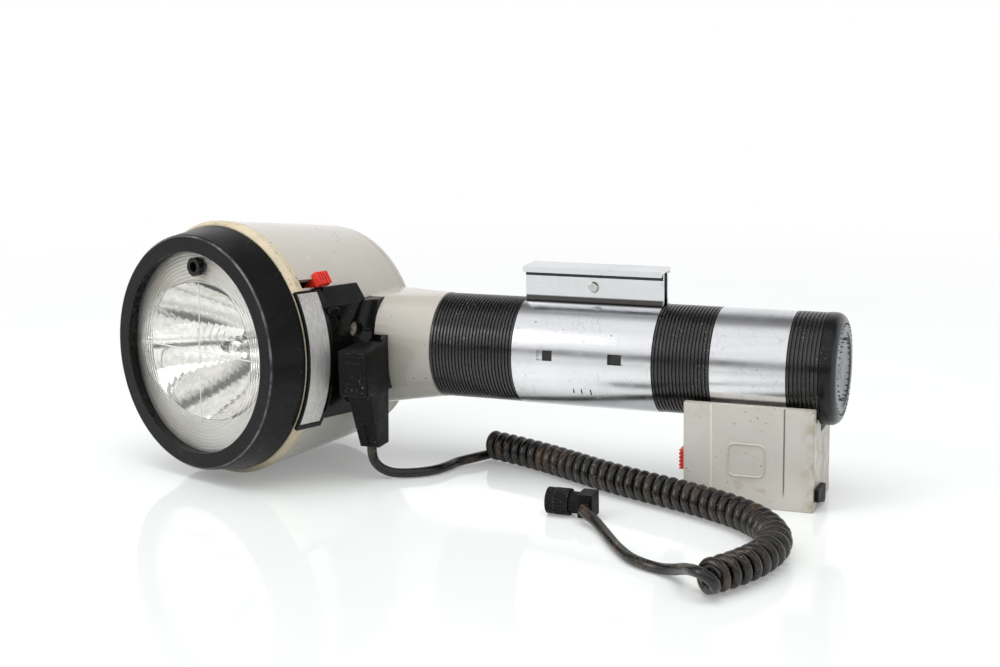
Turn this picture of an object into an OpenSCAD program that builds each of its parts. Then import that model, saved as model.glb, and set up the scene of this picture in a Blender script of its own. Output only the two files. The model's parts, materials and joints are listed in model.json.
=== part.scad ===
// Handle-mount electronic flash with a clip-on battery pack and a curly sync cord.
// The flash lies on its side: the handle runs along +X, the lens looks mostly along -Y,
// +Z is up and z = 0 is the surface it lies on.

/* [Handle] */
// Outer radius of the metal handle tube
tube_r = 21.5; // [19:0.5:24]
// Wall of the handle tube
tube_wall = 1.6; // [1:0.1:2.5]
// Radial thickness of the ribbed rubber grips
grip_t = 1; // [0.8:0.1:2]
// Length of the grip next to the head
grip_1_len = 37.6; // [30:0.1:50]
// Length of the metal clamp band
band_len = 60.2; // [50:0.1:75]
// Length of the middle grip
grip_2_len = 24; // [18:0.1:32]
// Length of the plain rear band
rear_band_len = 30.5; // [24:0.1:38]
// Length of the grip next to the end cap
grip_3_len = 13; // [9:0.1:20]
// Length of the end cap beyond the last grip
cap_len = 6.2; // [4:0.1:12]
// Distance between grip ribs
rib_pitch = 1.5; // [1.2:0.1:2.5]
// Height of the handle's axis above the surface
axis_h = 53.5; // [50:0.1:60]

/* [Clamp rail] */
// Thickness of the clamp band's sheet metal
band_t = 1.3; // [0.8:0.1:2]
// Height of the rail's top above the handle's axis
rail_top = 37.2; // [32:0.1:45]
// Width over the rail's two lips
rail_w = 14; // [11:0.5:18]
// Height of the rail's lips
rail_lip_h = 2.4; // [1.6:0.1:4]
// Width over the rail's two upright flanges
flange_w = 7; // [5:0.5:9]
// Radius of the clamp screw's thread
clamp_screw_r = 1.5; // [1:0.1:2.5]

/* [Head] */
// Turn of the lens axis away from square to the handle, in degrees
head_turn = 18.5; // [10:0.5:25]
// Lift of the lens axis above the surface, in degrees
head_lift = 2.9; // [0:0.1:6]
// Distance from the grip's start to the side of the drum
head_gap = 19.8; // [14:0.1:30]
// Radius of the drum's rear rim
drum_rear_r = 48.5; // [46:0.5:53]
// Radius of the drum's front rim
drum_front_r = 55.2; // [52:0.1:60]
// Length of the drum from the rear rim to the front rim
drum_len = 66.8; // [60:0.1:80]
// How far the rear rim lies behind the handle's axis
drum_back = 24; // [20:0.5:30]
// Wall of the moulded housings
shell_t = 2.4; // [1.8:0.1:3.2]
// Height of the neck
neck_h = 48.6; // [46:0.1:56]
// Depth of the neck
neck_d = 48; // [46:0.5:52]
// Corner radius of the neck
neck_corner = 16; // [6:0.5:18]

/* [Lens and reflector] */
// Length of the bezel in front of the drum's rim
bezel_len = 16.3; // [12:0.1:20]
// Radius of the opening in the bezel
opening_r = 43.4; // [40:0.1:46]
// Outer radius of the bezel's front face
bezel_front_r = 49.8; // [47:0.1:52]
// Depth of the lens behind the bezel's front face
lens_depth = 4.2; // [2:0.1:6]
// Thickness of the lens
lens_t = 2.5; // [2:0.1:4]
// Radius of the reflector bowl's mouth
bowl_r = 31.5; // [28:0.5:35]
// Depth of the reflector bowl
bowl_depth = 34; // [26:0.5:38]
// Outer radius of the light sensor's tube
sensor_r = 4; // [3:0.1:5]
// Bore radius of the light sensor's tube
sensor_bore = 2.2; // [1.5:0.1:2.8]
// Height of the sensor tube above the lens centre
sensor_up = 36.8; // [36:0.1:38]

/* [Controls] */
// Travel of the power switch
switch_travel = 7; // [4:0.5:9]
// Travel of the test button
button_travel = 1; // [0.6:0.1:1.4]
// Half the width of the test button
button_r = 1.6; // [1.2:0.1:1.8]
// Radius of the calculator dial
dial_r = 27; // [22:0.5:32]
// Radius of the calculator dial's pivot
pivot_r = 3; // [2:0.1:4]

/* [Battery pack] */
// Length of the battery pack along the handle
pack_len = 52.5; // [44:0.5:62]
// Start of the battery pack along the handle
pack_start = 112; // [108:0.5:116]
// Height of the pack's front face
pack_h = 41.5; // [36:0.5:45]
// Depth of the pack's front face in front of the handle's axis
pack_front = 24; // [23.5:0.1:28]
// Depth of the pack behind the handle's axis
pack_rear = 10; // [8:0.5:20]
// Wall of the pack's shells
pack_t = 2; // [1.4:0.1:3]
// Travel of the release button
release_travel = 2; // [1:0.1:2.5]

/* [Sync cord] */
// Diameter of the cord
cord_d = 4.2; // [3.6:0.1:5]
// Outer diameter of the curls
curl_d = 13; // [11:0.1:16]
// Least gap between neighbouring curls
curl_gap = 0.5; // [0.45:0.05:1]

/* [Hidden] */

fit = 0.1;
run_fit = 0.05;
round_fn = 96;
small_fn = 32;

// Colours of the finishes
grey_plastic = [0.70, 0.68, 0.63];
ivory = [0.80, 0.74, 0.60];
black = [0.04, 0.04, 0.045];
rubber = [0.06, 0.06, 0.065];
metal = [0.78, 0.79, 0.80];
red = [0.80, 0.08, 0.06];
pack_grey = [0.68, 0.66, 0.62];
clear = [0.85, 0.90, 0.92, 0.35];
copper = [0.72, 0.42, 0.22];

// Places along the handle, measured from the start of the first grip
band_x = grip_1_len;
grip_2_x = band_x + band_len;
rear_band_x = grip_2_x + grip_2_len;
grip_3_x = rear_band_x + rear_band_len;
cap_x = grip_3_x + grip_3_len;
handle_end = cap_x + cap_len;
grip_r = tube_r + grip_t;
tube_inner_r = tube_r - tube_wall;
tube_start = -14;

// The drum is a cone that rests on the lowest point of its front rim
drum_slope = (drum_front_r - drum_rear_r) / drum_len;
drum_mid_r = drum_rear_r + drum_back * drum_slope;
rim_z = drum_len - drum_back;
head_h = drum_front_r * cos(head_lift) - rim_z * sin(head_lift);
drum_seam_z = rim_z - 2.8;
bezel_seat_z = rim_z + 2.6;
bezel_front_z = bezel_seat_z + bezel_len;
bezel_rear_r = drum_front_r - 2;
spigot_len = 3;
spigot_r = drum_r(drum_seam_z - spigot_len) - shell_t - 0.7;
lens_front_z = bezel_front_z - lens_depth;
lens_back_z = lens_front_z - lens_t;
lens_r = opening_r + 3.4;
flange_z = lens_back_z - fit;
cover_z = -drum_back - 6;
dial_z = cover_z - 1.4;
function drum_r(z) = drum_mid_r + z * drum_slope;

// The origin lies under the middle of the flash without its cord
head_x = -head_gap - drum_front_r;
lens_dir = [-cos(head_lift) * sin(head_turn), -cos(head_lift) * cos(head_turn)];
function head_reach(r, z, k) =
  abs(lens_dir[k] * z + sign(lens_dir[k] * z) * r * sqrt(1 - pow(lens_dir[k], 2)));
edge_round = 1;
cover_round = 5;
x_low = head_x - head_reach(bezel_front_r + edge_round * 0.8, bezel_front_z - edge_round, 0);
y_low = -head_reach(bezel_front_r, bezel_front_z, 1);
y_high = max([for (a = [0:5:90])
  head_reach(drum_rear_r - cover_round * (1 - cos(a)), -drum_back - 1 - cover_round * sin(a), 1)]);
origin_x = -(x_low + handle_end) / 2;
origin_y = -(y_low + y_high) / 2;

module at_handle() {
  translate([origin_x, origin_y, axis_h]) children();
}

module at_table() {
  translate([origin_x, origin_y, 0]) children();
}

// In the head's own frame the lens looks along +Z, +X points towards the handle and +Y is up
module at_head() {
  translate([origin_x + head_x, origin_y, head_h]) rotate([0, 0, -head_turn])
    rotate([90 - head_lift, 0, 0]) children();
}

// Turns a profile of radius and distance about the handle's axis
module about_handle() {
  rotate([0, 90, 0]) rotate_extrude($fn = round_fn) children();
}

module tube_piece(r, inner_r, start, len) {
  translate([start, 0, 0]) rotate([0, 90, 0]) difference() {
    cylinder(r = r, h = len, $fn = round_fn);
    translate([0, 0, -1]) cylinder(r = inner_r, h = len + 2, $fn = round_fn);
  }
}

module ring(r, inner_r, start, len) {
  translate([0, 0, start]) difference() {
    cylinder(r = r, h = len, $fn = round_fn);
    translate([0, 0, -1]) cylinder(r = inner_r, h = len + 2, $fn = round_fn);
  }
}

module rounded_square(w, h, r) {
  square([w, h - 2 * r], center = true);
  square([w - 2 * r, h], center = true);
  for (x = [-1, 1], y = [-1, 1]) translate([x * (w / 2 - r), y * (h / 2 - r)]) circle(r, $fn = small_fn);
}

// Wedge in the head's frame from one angle to another, used to cut pieces of the drum's side
module side_wedge(from, to, start, len) {
  reach = drum_front_r * 2;
  translate([0, 0, start]) linear_extrude(len)
    polygon([[0, 0], reach * [cos(from), sin(from)], reach * [cos((from + to) / 2), sin((from + to) / 2)],
      reach * [cos(to), sin(to)]]);
}

// Neck between the drum and the first grip: a rounded block that draws in to the grip's circle
neck_x0 = -62;
neck_flat = -28;
neck_low = 1.7;
neck_reach = 70;
module neck_block(inset) {
  difference() {
    hull() {
      translate([neck_x0, 0, -neck_low]) rotate([90, 0, 90]) linear_extrude(neck_flat - neck_x0)
        rounded_square(neck_d - 2 * inset, neck_h - 2 * inset, neck_corner - inset);
      translate([-1, 0, 0]) rotate([0, 90, 0]) cylinder(r = grip_r + 0.3 - inset, h = 1, $fn = round_fn);
    }
    translate([head_x, 0, head_h - axis_h]) rotate([0, 0, -head_turn]) rotate([90 - head_lift, 0, 0])
      translate([0, 0, -neck_reach])
        cylinder(r = drum_rear_r + 0.6 + inset, h = neck_reach - drum_back + inset - 0.02, $fn = round_fn);
  }
}

module head_housing() {
  color(grey_plastic) {
    difference() {
      union() {
        at_head() rotate_extrude($fn = round_fn) polygon([[0, -drum_back], [drum_rear_r - 1, -drum_back],
          [drum_r(-drum_back + 1), -drum_back + 1], [drum_r(drum_seam_z), drum_seam_z], [0, drum_seam_z]]);
        at_handle() neck_block(0);
      }
      at_head() rotate_extrude($fn = round_fn) polygon([[0, -drum_back - 1],
        [drum_r(-drum_back) - shell_t, -drum_back - 1], [drum_r(drum_seam_z) - shell_t, drum_seam_z + 1],
        [0, drum_seam_z + 1]]);
      at_handle() difference() {
        neck_block(shell_t);
        translate([tube_start, 0, 0]) rotate([0, 90, 0]) cylinder(r = neck_h, h = 20, $fn = round_fn);
      }
      at_handle() translate([tube_start - 1, 0, 0]) rotate([0, 90, 0])
        cylinder(r = tube_r, h = 20, $fn = round_fn);
      panel_space(fit);
      at_handle() socket_block(fit);
      at_head() panel_side(fit);
      switch_slot();
      at_head() translate([panel_face - 1, -19, panel_back_z - fit])
        cube([20, 38, block_z1 - panel_back_z + 2 * fit]);
      at_handle() translate([plug_x - plug_w / 2 - 0.5, plug_back - 12, plug_z0 - 1])
        cube([plug_w + 1, 13, plug_z1 - plug_z0 + 2]);
    }
  }
}

module housing_rim() {
  color(ivory) difference() {
    at_head() rotate_extrude($fn = round_fn) polygon([[spigot_r, drum_seam_z],
      [drum_r(drum_seam_z), drum_seam_z], [drum_front_r, rim_z], [bezel_rear_r + 0.6, bezel_seat_z],
      [spigot_r, bezel_seat_z]]);
    at_head() panel_side(fit);
    switch_slot();
  }
}

// The bezel's spigot has a notch that lets the foot of the power switch pass
notch_w = 4.8;
notch_z0 = drum_seam_z - 4;
module bezel() {
  color(black) at_head() difference() {
    rotate_extrude($fn = round_fn) polygon([
      [opening_r, bezel_front_z], [bezel_front_r, bezel_front_z],
      [bezel_front_r + edge_round * 0.8, bezel_front_z - edge_round],
      [bezel_rear_r, bezel_seat_z], [spigot_r - fit, bezel_seat_z],
      [spigot_r - fit, drum_seam_z - spigot_len], [spigot_r - 2, drum_seam_z - spigot_len],
      [spigot_r - 2, bezel_seat_z + 3],
      [lens_r + fit, bezel_seat_z + 5], [lens_r + fit, lens_front_z], [opening_r, lens_front_z]]);
    rotate([0, 0, slot_angle]) translate([spigot_r - 3, -notch_w / 2, notch_z0])
      cube([4, notch_w, switch_z + switch_travel + 3.2 - notch_z0]);
  }
}

ridge_count = 8;
ridge_h = 0.6;
ridge_r0 = bowl_r + 0.8;
ridge_w = (opening_r - 1 - ridge_r0) / ridge_count;
module front_lens() {
  color(clear) at_head() difference() {
    rotate_extrude($fn = round_fn) polygon(concat(
      [[0, lens_back_z], [lens_r, lens_back_z], [lens_r, lens_front_z]],
      [for (i = [ridge_count - 1:-1:0], k = [1, 0])
        [ridge_r0 + (i + k) * ridge_w, lens_front_z - (k == 1 ? 0 : ridge_h)]],
      [[0, lens_front_z - ridge_h]]));
    translate([0, sensor_up, lens_back_z - 1])
      cylinder(r = sensor_r + run_fit, h = lens_t + 2, $fn = small_fn);
  }
}

// The bowl is a parabola from its centre hole to its mouth, with a flat flange under the lens
bowl_hole_r = 8;
bowl_steps = 14;
bowl_back_z = flange_z - 1 - bowl_depth;
bowl_k = bowl_depth / (pow(bowl_r, 2) - pow(bowl_hole_r, 2));
function bowl_z(r) = bowl_back_z + bowl_k * (pow(r, 2) - pow(bowl_hole_r, 2));
bowl_rs = [for (i = [0:bowl_steps]) bowl_hole_r + (bowl_r - bowl_hole_r) * i / bowl_steps];
module reflector() {
  color(metal) at_head() difference() {
    rotate_extrude($fn = round_fn) polygon(concat(
      [for (r = bowl_rs) [r, bowl_z(r)]],
      [[bowl_r + 0.2, flange_z], [lens_r - 0.5, flange_z], [lens_r - 0.5, flange_z - 1]],
      [for (i = [bowl_steps:-1:0]) [bowl_rs[i] + 1, bowl_z(bowl_rs[i]) - 1]]));
    translate([0, sensor_up, flange_z - 1.01]) cylinder(r = sensor_r + run_fit, h = 6, $fn = small_fn);
    translate([0, sensor_up, sensor_back_z - 2])
      cylinder(r = sensor_r + 1.6, h = flange_z + 1 - sensor_back_z, $fn = small_fn);
  }
}

tube_leg = 5;
glass_r = 2.6;
tube_base_z = bowl_back_z - 4;
tube_bend_z = bowl_back_z + 15;
module flash_tube() {
  color(clear) at_head() {
    for (x = [-1, 1]) translate([x * tube_leg, 0, tube_base_z + 6])
      cylinder(r = glass_r, h = tube_bend_z - tube_base_z - 6, $fn = small_fn);
    translate([0, 0, tube_bend_z]) rotate([90, 0, 0])
      rotate_extrude(angle = 180, $fn = round_fn) translate([tube_leg, 0]) circle(glass_r, $fn = small_fn);
  }
}

band_wire_r = 0.35;
module trigger_bands() {
  color(copper) at_head() for (x = [-1, 1], z = [3, 7, 11])
    translate([x * tube_leg, 0, tube_base_z + 6 + z]) rotate_extrude($fn = small_fn)
      translate([glass_r + band_wire_r, 0]) circle(band_wire_r, $fn = 16);
}

module tube_base() {
  color([0.9, 0.89, 0.86]) at_head() difference() {
    union() {
      translate([0, 0, tube_base_z]) cylinder(r = bowl_hole_r - run_fit, h = 8, $fn = round_fn);
      translate([0, 0, tube_base_z]) cylinder(r = bowl_hole_r + 2, h = 2.9, $fn = round_fn);
    }
    for (x = [-1, 1]) translate([x * tube_leg, 0, tube_base_z + 6])
      cylinder(r = glass_r, h = 4, $fn = small_fn);
  }
}

board_z = -6;
board_t = 1.6;
module tube_socket() {
  color(black) at_head() translate([0, 0, board_z + board_t]) difference() {
    cylinder(r = 13, h = tube_base_z - board_z - board_t, $fn = round_fn);
    for (x = [-1, 1]) translate([x * 9, 0, tube_base_z - board_z - board_t - 3])
      cylinder(r = 1.2, h = 4, $fn = small_fn);
  }
}

sensor_front_z = bezel_front_z - 1.7;
sensor_back_z = flange_z - 4;
module sensor_tube() {
  color(black) at_head() translate([0, sensor_up, 0]) difference() {
    union() {
      translate([0, 0, sensor_back_z])
        cylinder(r = sensor_r, h = sensor_front_z - sensor_back_z, $fn = small_fn);
      translate([0, 0, sensor_back_z])
        cylinder(r = sensor_r + 1.5, h = flange_z - 1 - sensor_back_z, $fn = small_fn);
    }
    translate([0, 0, sensor_back_z - 1])
      cylinder(r = sensor_bore, h = sensor_front_z - sensor_back_z + 2, $fn = small_fn);
  }
}

module photocell() {
  color([0.3, 0.2, 0.15]) at_head() translate([0, sensor_up, sensor_back_z - 1.5]) {
    cylinder(r = sensor_bore + 1, h = 1.5, $fn = small_fn);
    cylinder(r = sensor_bore - run_fit, h = 3, $fn = small_fn);
  }
}

// Rear cover with its rounded edge, a spigot in the drum and four posts for the circuit board
cover_spigot_r = drum_rear_r - shell_t - fit;
post_at = [for (x = [-26, 26], y = [-24, 24]) [x, y]];
cover_screw_r = 1.5;
cover_screw_at = [for (a = [45:90:315]) (drum_rear_r - 8) * [cos(a), sin(a)]];
lamp_at = [0, 38];
lamp_r = 3.5;
module rear_cover() {
  color(grey_plastic) at_head() difference() {
    union() {
      rotate_extrude($fn = round_fn) polygon(concat(
        [[0, -drum_back], [drum_rear_r - 1, -drum_back]],
        [for (a = [0:15:90]) [drum_rear_r - cover_round + (cover_round - 0.6) * cos(a),
          -drum_back - 1 - cover_round * sin(a)]],
        [[0, cover_z]]));
      ring(cover_spigot_r, cover_spigot_r - 1.6, -drum_back - 1, 5);
      for (p = post_at) translate([p[0], p[1], -drum_back - 1])
        cylinder(r = 3, h = board_z + drum_back + 1, $fn = small_fn);
    }
    translate([0, 0, cover_z - 1]) cylinder(r = pivot_r - 0.8, h = 4, $fn = small_fn);
    translate([lamp_at[0], lamp_at[1], cover_z - 1]) cylinder(r = lamp_r, h = 8, $fn = small_fn);
    for (p = cover_screw_at) translate([p[0], p[1], cover_z - 1]) {
      cylinder(r = cover_screw_r, h = 8, $fn = small_fn);
      cylinder(r = cover_screw_r + 1.6, h = 2.6, $fn = small_fn);
    }
  }
}

module cover_screws() {
  color(metal) at_head() for (p = cover_screw_at) translate([p[0], p[1], cover_z + 0.2]) difference() {
    union() {
      cylinder(r = cover_screw_r + 1.5, h = 1.4, $fn = small_fn);
      cylinder(r = cover_screw_r, h = 7, $fn = small_fn);
    }
    translate([-2, -0.3, -1]) cube([4, 0.6, 1.6]);
  }
}

module circuit_board() {
  color([0.10, 0.30, 0.15]) at_head() translate([0, 0, board_z]) difference() {
    translate([-32, -30, 0]) cube([64, 60, board_t]);
    for (p = post_at) translate([p[0], p[1], -1]) cylinder(r = 1.2, h = 4, $fn = small_fn);
  }
}

module transformer() {
  color(copper) at_head() translate([-27, 14, board_z + board_t]) {
    cube([20, 15, 3]);
    translate([3, 2, 3]) cube([14, 11, 10]);
    translate([0, 0, 13]) cube([20, 15, 3]);
  }
}

module trigger_coil() {
  color([0.5, 0.1, 0.1]) at_head() translate([24, -12, board_z + board_t]) {
    cylinder(r = 5, h = 2, $fn = small_fn);
    cylinder(r = 3.8, h = 12, $fn = small_fn);
    translate([0, 0, 12]) cylinder(r = 5, h = 2, $fn = small_fn);
  }
}

module quench_tube() {
  color(clear) at_head() translate([-22, -16, board_z + board_t]) {
    cylinder(r = 4.5, h = 3, $fn = small_fn);
    cylinder(r = 3.6, h = 16, $fn = small_fn);
    translate([0, 0, 16]) sphere(r = 3.6, $fn = small_fn);
  }
}

module calculator_plate() {
  color(black) at_head() ring(dial_r + 5, pivot_r + 1, cover_z - 1, 1);
}

dial_t = 2.4;
dial_grip_count = 36;
module calculator_dial() {
  color(metal) at_head() translate([0, 0, dial_z - dial_t]) difference() {
    cylinder(r = dial_r, h = dial_t, $fn = round_fn);
    translate([0, 0, -1]) cylinder(r = pivot_r + run_fit, h = dial_t + 2, $fn = small_fn);
    for (i = [0:dial_grip_count - 1]) rotate([0, 0, i * 360 / dial_grip_count])
      translate([dial_r + 0.7, 0, -1]) cylinder(r = 1.3, h = dial_t + 2, $fn = 16);
  }
}

module dial_pivot() {
  color(metal) at_head() difference() {
    union() {
      translate([0, 0, dial_z - dial_t - fit]) cylinder(r = pivot_r, h = dial_t + fit + 0.4, $fn = small_fn);
      translate([0, 0, dial_z - dial_t - 1.5]) cylinder(r = pivot_r + 2.4, h = 1.4, $fn = small_fn);
      translate([0, 0, dial_z]) cylinder(r = pivot_r - 0.8, h = 4, $fn = small_fn);
      translate([0, 0, dial_z + run_fit])
        cylinder(r = pivot_r + 0.9, h = cover_z - dial_z - run_fit, $fn = small_fn);
    }
    translate([-4, -0.5, dial_z - dial_t - 2]) cube([8, 1, 1.2]);
  }
}

module ready_lamp() {
  color([0.9, 0.45, 0.1]) at_head() translate([lamp_at[0], lamp_at[1], cover_z - 1.2]) {
    translate([0, 0, 0.6]) cylinder(r = lamp_r, h = 6, $fn = small_fn);
    cylinder(r1 = lamp_r - 1, r2 = lamp_r, h = 0.6, $fn = small_fn);
  }
}

// Black control panel on the drum's side, in the head's frame, and on the neck's front
panel_face = drum_front_r - 3.7;
panel_top = 29.5;
panel_low = -26.5;
panel_crease = 22;
panel_back_z = rim_z - 34.8;
plate_z0 = rim_z - 9.4;
plate_z1 = rim_z + 1.8;
plate_t = 0.6;
plate_angle = 31;
plate_r = drum_front_r + 0.2;
panel_depth = 7;
panel_inner = panel_face - panel_depth;
block_z1 = bezel_seat_z - 9.4;
slot_angle = 35.5;
switch_z = rim_z - 12.8;
module panel_side(gap) {
  translate([panel_inner, 0, panel_back_z - gap]) linear_extrude(block_z1 - panel_back_z + 2 * gap)
    polygon([[0, panel_low - gap], [panel_depth - 4.5, panel_low - gap], [panel_depth + gap, -17],
      [panel_depth + gap, panel_crease], [1 + gap, panel_top + gap], [0, panel_top + gap]]);
  intersection() {
    ring(plate_r + 20 * gap, spigot_r + fit, plate_z0 - 2 - gap, bezel_seat_z - plate_z0 + 2 + gap - fit);
    side_wedge(-plate_angle - 1, plate_angle + 1, plate_z0 - 3, 20);
  }
}

// Slot in the drum, just above the panel, for the power switch
module switch_slot() {
  at_head() rotate([0, 0, slot_angle]) translate([panel_inner - 6, -2, switch_z - 3.2])
    cube([30, 4, switch_travel + 6.4]);
}

pad_front = neck_d / 2 + 0.3;
boss_front = 29.6;
boss_x0 = -31.5;
boss_x1 = -18.8;
boss_d = 10;
boss_z0 = -16;
boss_z1 = 7.5;
panel_right = -25;
socket_front = pad_front - boss_front + boss_d;
module panel_space(gap) {
  at_handle() {
    for (half = [[-20, 28, socket_front], [8, 14, 12]]) translate([0, 0, half[0] - gap])
      linear_extrude(half[1] + 2 * gap) polygon([
        [panel_right + gap, -pad_front - gap], [-28.85, -pad_front - gap], [-32.5, -35.3], [-39.1, -33.1],
        [-36, -pad_front + half[2]], [panel_right + gap, -pad_front + half[2]]]);
    translate([boss_x0, -boss_front, boss_z0 - gap])
      cube([boss_x1 - boss_x0 + gap, boss_d, boss_z1 - boss_z0 + 2 * gap]);
  }
}

knob_w = 5.6;
knob_len = 6.6;
test_at = [20.1, rim_z - 14.5];
button_len = 6.6;
jack_at = [10.2, rim_z - 30.8];
key_hole_z = rim_z - 19.4;
module pill(r, h) {
  half = button_len / 2 - button_r;
  rotate([0, 90, 0]) {
    for (x = [-half, half]) translate([x, 0, 0]) cylinder(r = r, h = h, $fn = small_fn);
    translate([-half, -r, 0]) cube([2 * half, 2 * r, h]);
  }
}

module panel_cuts() {
  at_head() {
    translate([panel_inner - 1, test_at[0], test_at[1]]) pill(button_r + run_fit, 20);
    translate([panel_face - 2.5, 15.7, key_hole_z]) cube([5, 2, 2]);
    intersection() {
      ring(plate_r + 5, plate_r - plate_t, plate_z0, plate_z1 - plate_z0);
      side_wedge(-plate_angle + 2, plate_angle, plate_z0 - 1, 20);
    }
    translate([panel_face + 4, jack_at[0], jack_at[1] + 0.5]) {
      sphere(r = 7.2, $fn = 48);
      rotate([-111, 0, 0]) cylinder(r1 = 7.2, r2 = 5, h = 15, $fn = 48);
    }
    translate([panel_face - 6, jack_at[0], jack_at[1]]) rotate([0, 90, 0])
      cylinder(r = 3.5, h = 6, $fn = small_fn);
  }
  switch_slot();
}

// Plug and socket share the places of the two blades
blade_gap = 12.7;
blade_w = 6.3;
blade_t = 1.5;
blade_len = 14;
plug_x = -22.8;
plug_w = 13.5;
plug_z0 = -14;
plug_z1 = 6;
blade_z = (plug_z0 + plug_z1) / 2;
module blade_pair(w, t, from, to) {
  for (z = [-1, 1]) translate([plug_x - w / 2, from, blade_z + z * blade_gap / 2 - t / 2])
    cube([w, to - from, t]);
}

module control_panel() {
  color(black) difference() {
    union() {
      at_head() panel_side(0);
      panel_space(0);
    }
    panel_cuts();
    at_handle() blade_pair(blade_w + 0.4, blade_t + 0.4, -40, 0);
  }
}

module label_plate() {
  color(metal) at_head() intersection() {
    ring(plate_r, plate_r - plate_t, plate_z0 + fit, plate_z1 - plate_z0 - 2 * fit);
    side_wedge(-plate_angle + 2.2, plate_angle - 0.2, plate_z0 - 1, 20);
  }
}

// The power switch slides along the lens axis in a slot at the panel's top edge
knob_r0 = drum_front_r + 0.6;
knob_h = 3.4;
module power_switch() {
  color(red) at_head() rotate([0, 0, slot_angle]) difference() {
    union() {
      translate([knob_r0, -knob_w / 2, switch_z - knob_len / 2]) cube([knob_h, knob_w, knob_len]);
      translate([panel_inner - 1, -1.6, switch_z - 2.5]) cube([knob_r0 - panel_inner + 1.1, 3.2, 5]);
    }
    for (i = [-1.5:1:1.5]) translate([knob_r0 + knob_h - 0.7, -knob_w, switch_z + i * 1.5 - 0.35])
      cube([2, 2 * knob_w, 0.7]);
  }
}

module switch_body() {
  color(black) at_head() rotate([0, 0, slot_angle]) difference() {
    translate([panel_inner - 8.5, -4.5, switch_z - 6]) cube([8.2, 9, switch_travel + 12]);
    translate([panel_inner - 1.2, -1.8, switch_z - 2.8]) cube([2, 3.6, switch_travel + 5.6]);
  }
}

button_rest = 1.5;
module test_button() {
  color(black) at_head() translate([panel_inner - 1, test_at[0], test_at[1]]) {
    pill(button_r, panel_depth + 1 + button_rest - 0.5);
    pill(button_r + 1, 0.9);
    pill(button_r - 0.4, panel_depth + 1 + button_rest);
  }
}

module button_contact() {
  color(copper) at_head() translate([panel_inner - 3.2 - button_travel, test_at[0] - 10, test_at[1] - 2]) {
    cube([0.6, 13, 4]);
    cube([3.1 + button_travel, 2, 4]);
  }
}

// Round jack in the scoop above the plug
module accessory_jack() {
  color([0.8, 0.75, 0.6]) at_head() translate([panel_face - 5.98, jack_at[0], jack_at[1]])
    rotate([0, 90, 0]) {
      cylinder(r = 3.4, h = 0.6, $fn = small_fn);
      cylinder(r = 0.9, h = 2.2, $fn = small_fn);
    }
}

socket_w = 12;
module socket_block(gap) {
  translate([plug_x - socket_w / 2 - gap, -boss_front + boss_d + fit - gap, boss_z0 + 1 - gap])
    cube([socket_w + 2 * gap, 6 + 2 * gap, boss_z1 - boss_z0 - 2 + 2 * gap]);
}

module sync_socket() {
  color(black) at_handle() difference() {
    socket_block(0);
    blade_pair(blade_w + 0.4, blade_t + 0.4, -40, 0);
  }
}

module handle_tube() {
  color(metal) at_handle() difference() {
    tube_piece(tube_r, tube_inner_r, tube_start, cap_x - tube_start);
    for (x = contact_x) translate([x, pack_mid_y, -tube_r - 2])
      cylinder(r = contact_r + 1, h = 6, $fn = small_fn);
  }
}

// A grip is a rubber sleeve whose ribs are turned about the handle's axis
rib_h = 0.7;
module grip(start, len) {
  count = floor(len / rib_pitch);
  pitch = len / count;
  color(rubber) at_handle() about_handle() polygon(concat(
    [[tube_r, start], [grip_r - rib_h, start]],
    [for (i = [0:count - 1], k = [[0, 0.12], [rib_h, 0.28], [rib_h, 0.72], [0, 0.88]])
      [grip_r - rib_h + k[0], start + (i + k[1]) * pitch]],
    [[grip_r - rib_h, start + len], [tube_r, start + len]]));
}
module grip_1() { grip(0, grip_1_len); }
module grip_2() { grip(grip_2_x, grip_2_len); }
module grip_3() { grip(grip_3_x, grip_3_len); }

// Sheet-metal band round the tube whose ends rise as two flanges under a flat rail with lips
band_r = tube_r + band_t;
window_at = [11.1, 41.9];
window_w = 6.8;
window_h = 4.3;
module clamp_band() {
  flange_in = flange_w / 2 - band_t;
  color(metal) at_handle() difference() {
    union() {
      tube_piece(band_r, tube_r, band_x, band_len);
      for (m = [0, 1]) mirror([0, m, 0]) translate([band_x, 0, 0]) {
        translate([0, flange_in, tube_r - 1]) cube([band_len, band_t, rail_top - tube_r + 1]);
        translate([0, rail_w / 2 - band_t, rail_top - rail_lip_h]) cube([band_len, band_t, rail_lip_h]);
      }
      translate([band_x, -rail_w / 2, rail_top - band_t]) cube([band_len, rail_w, band_t]);
    }
    translate([band_x - 1, -flange_in, 0]) cube([band_len + 2, 2 * flange_in, rail_top - band_t]);
    translate([tube_start, 0, 0]) rotate([0, 90, 0]) cylinder(r = tube_r, h = 200, $fn = round_fn);
    for (x = window_at) translate([band_x + x, -band_r - 2, 0.8]) cube([window_w, 6, window_h]);
    translate([band_x + band_len / 2, 0, screw_z]) rotate([90, 0, 0])
      cylinder(r = clamp_screw_r + run_fit, h = 20, center = true, $fn = small_fn);
  }
}

screw_z = (tube_r + rail_top) / 2 - 0.4;
screw_head_r = clamp_screw_r + 0.9;
module clamp_screw() {
  color(metal) at_handle() translate([band_x + band_len / 2, 0, screw_z]) rotate([90, 0, 0]) {
    translate([0, 0, -flange_w / 2 - 3]) cylinder(r = clamp_screw_r, h = flange_w + 3.5, $fn = small_fn);
    translate([0, 0, flange_w / 2 + 0.02])
      cylinder(r1 = screw_head_r, r2 = screw_head_r - 0.5, h = 1, $fn = small_fn);
  }
}

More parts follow.
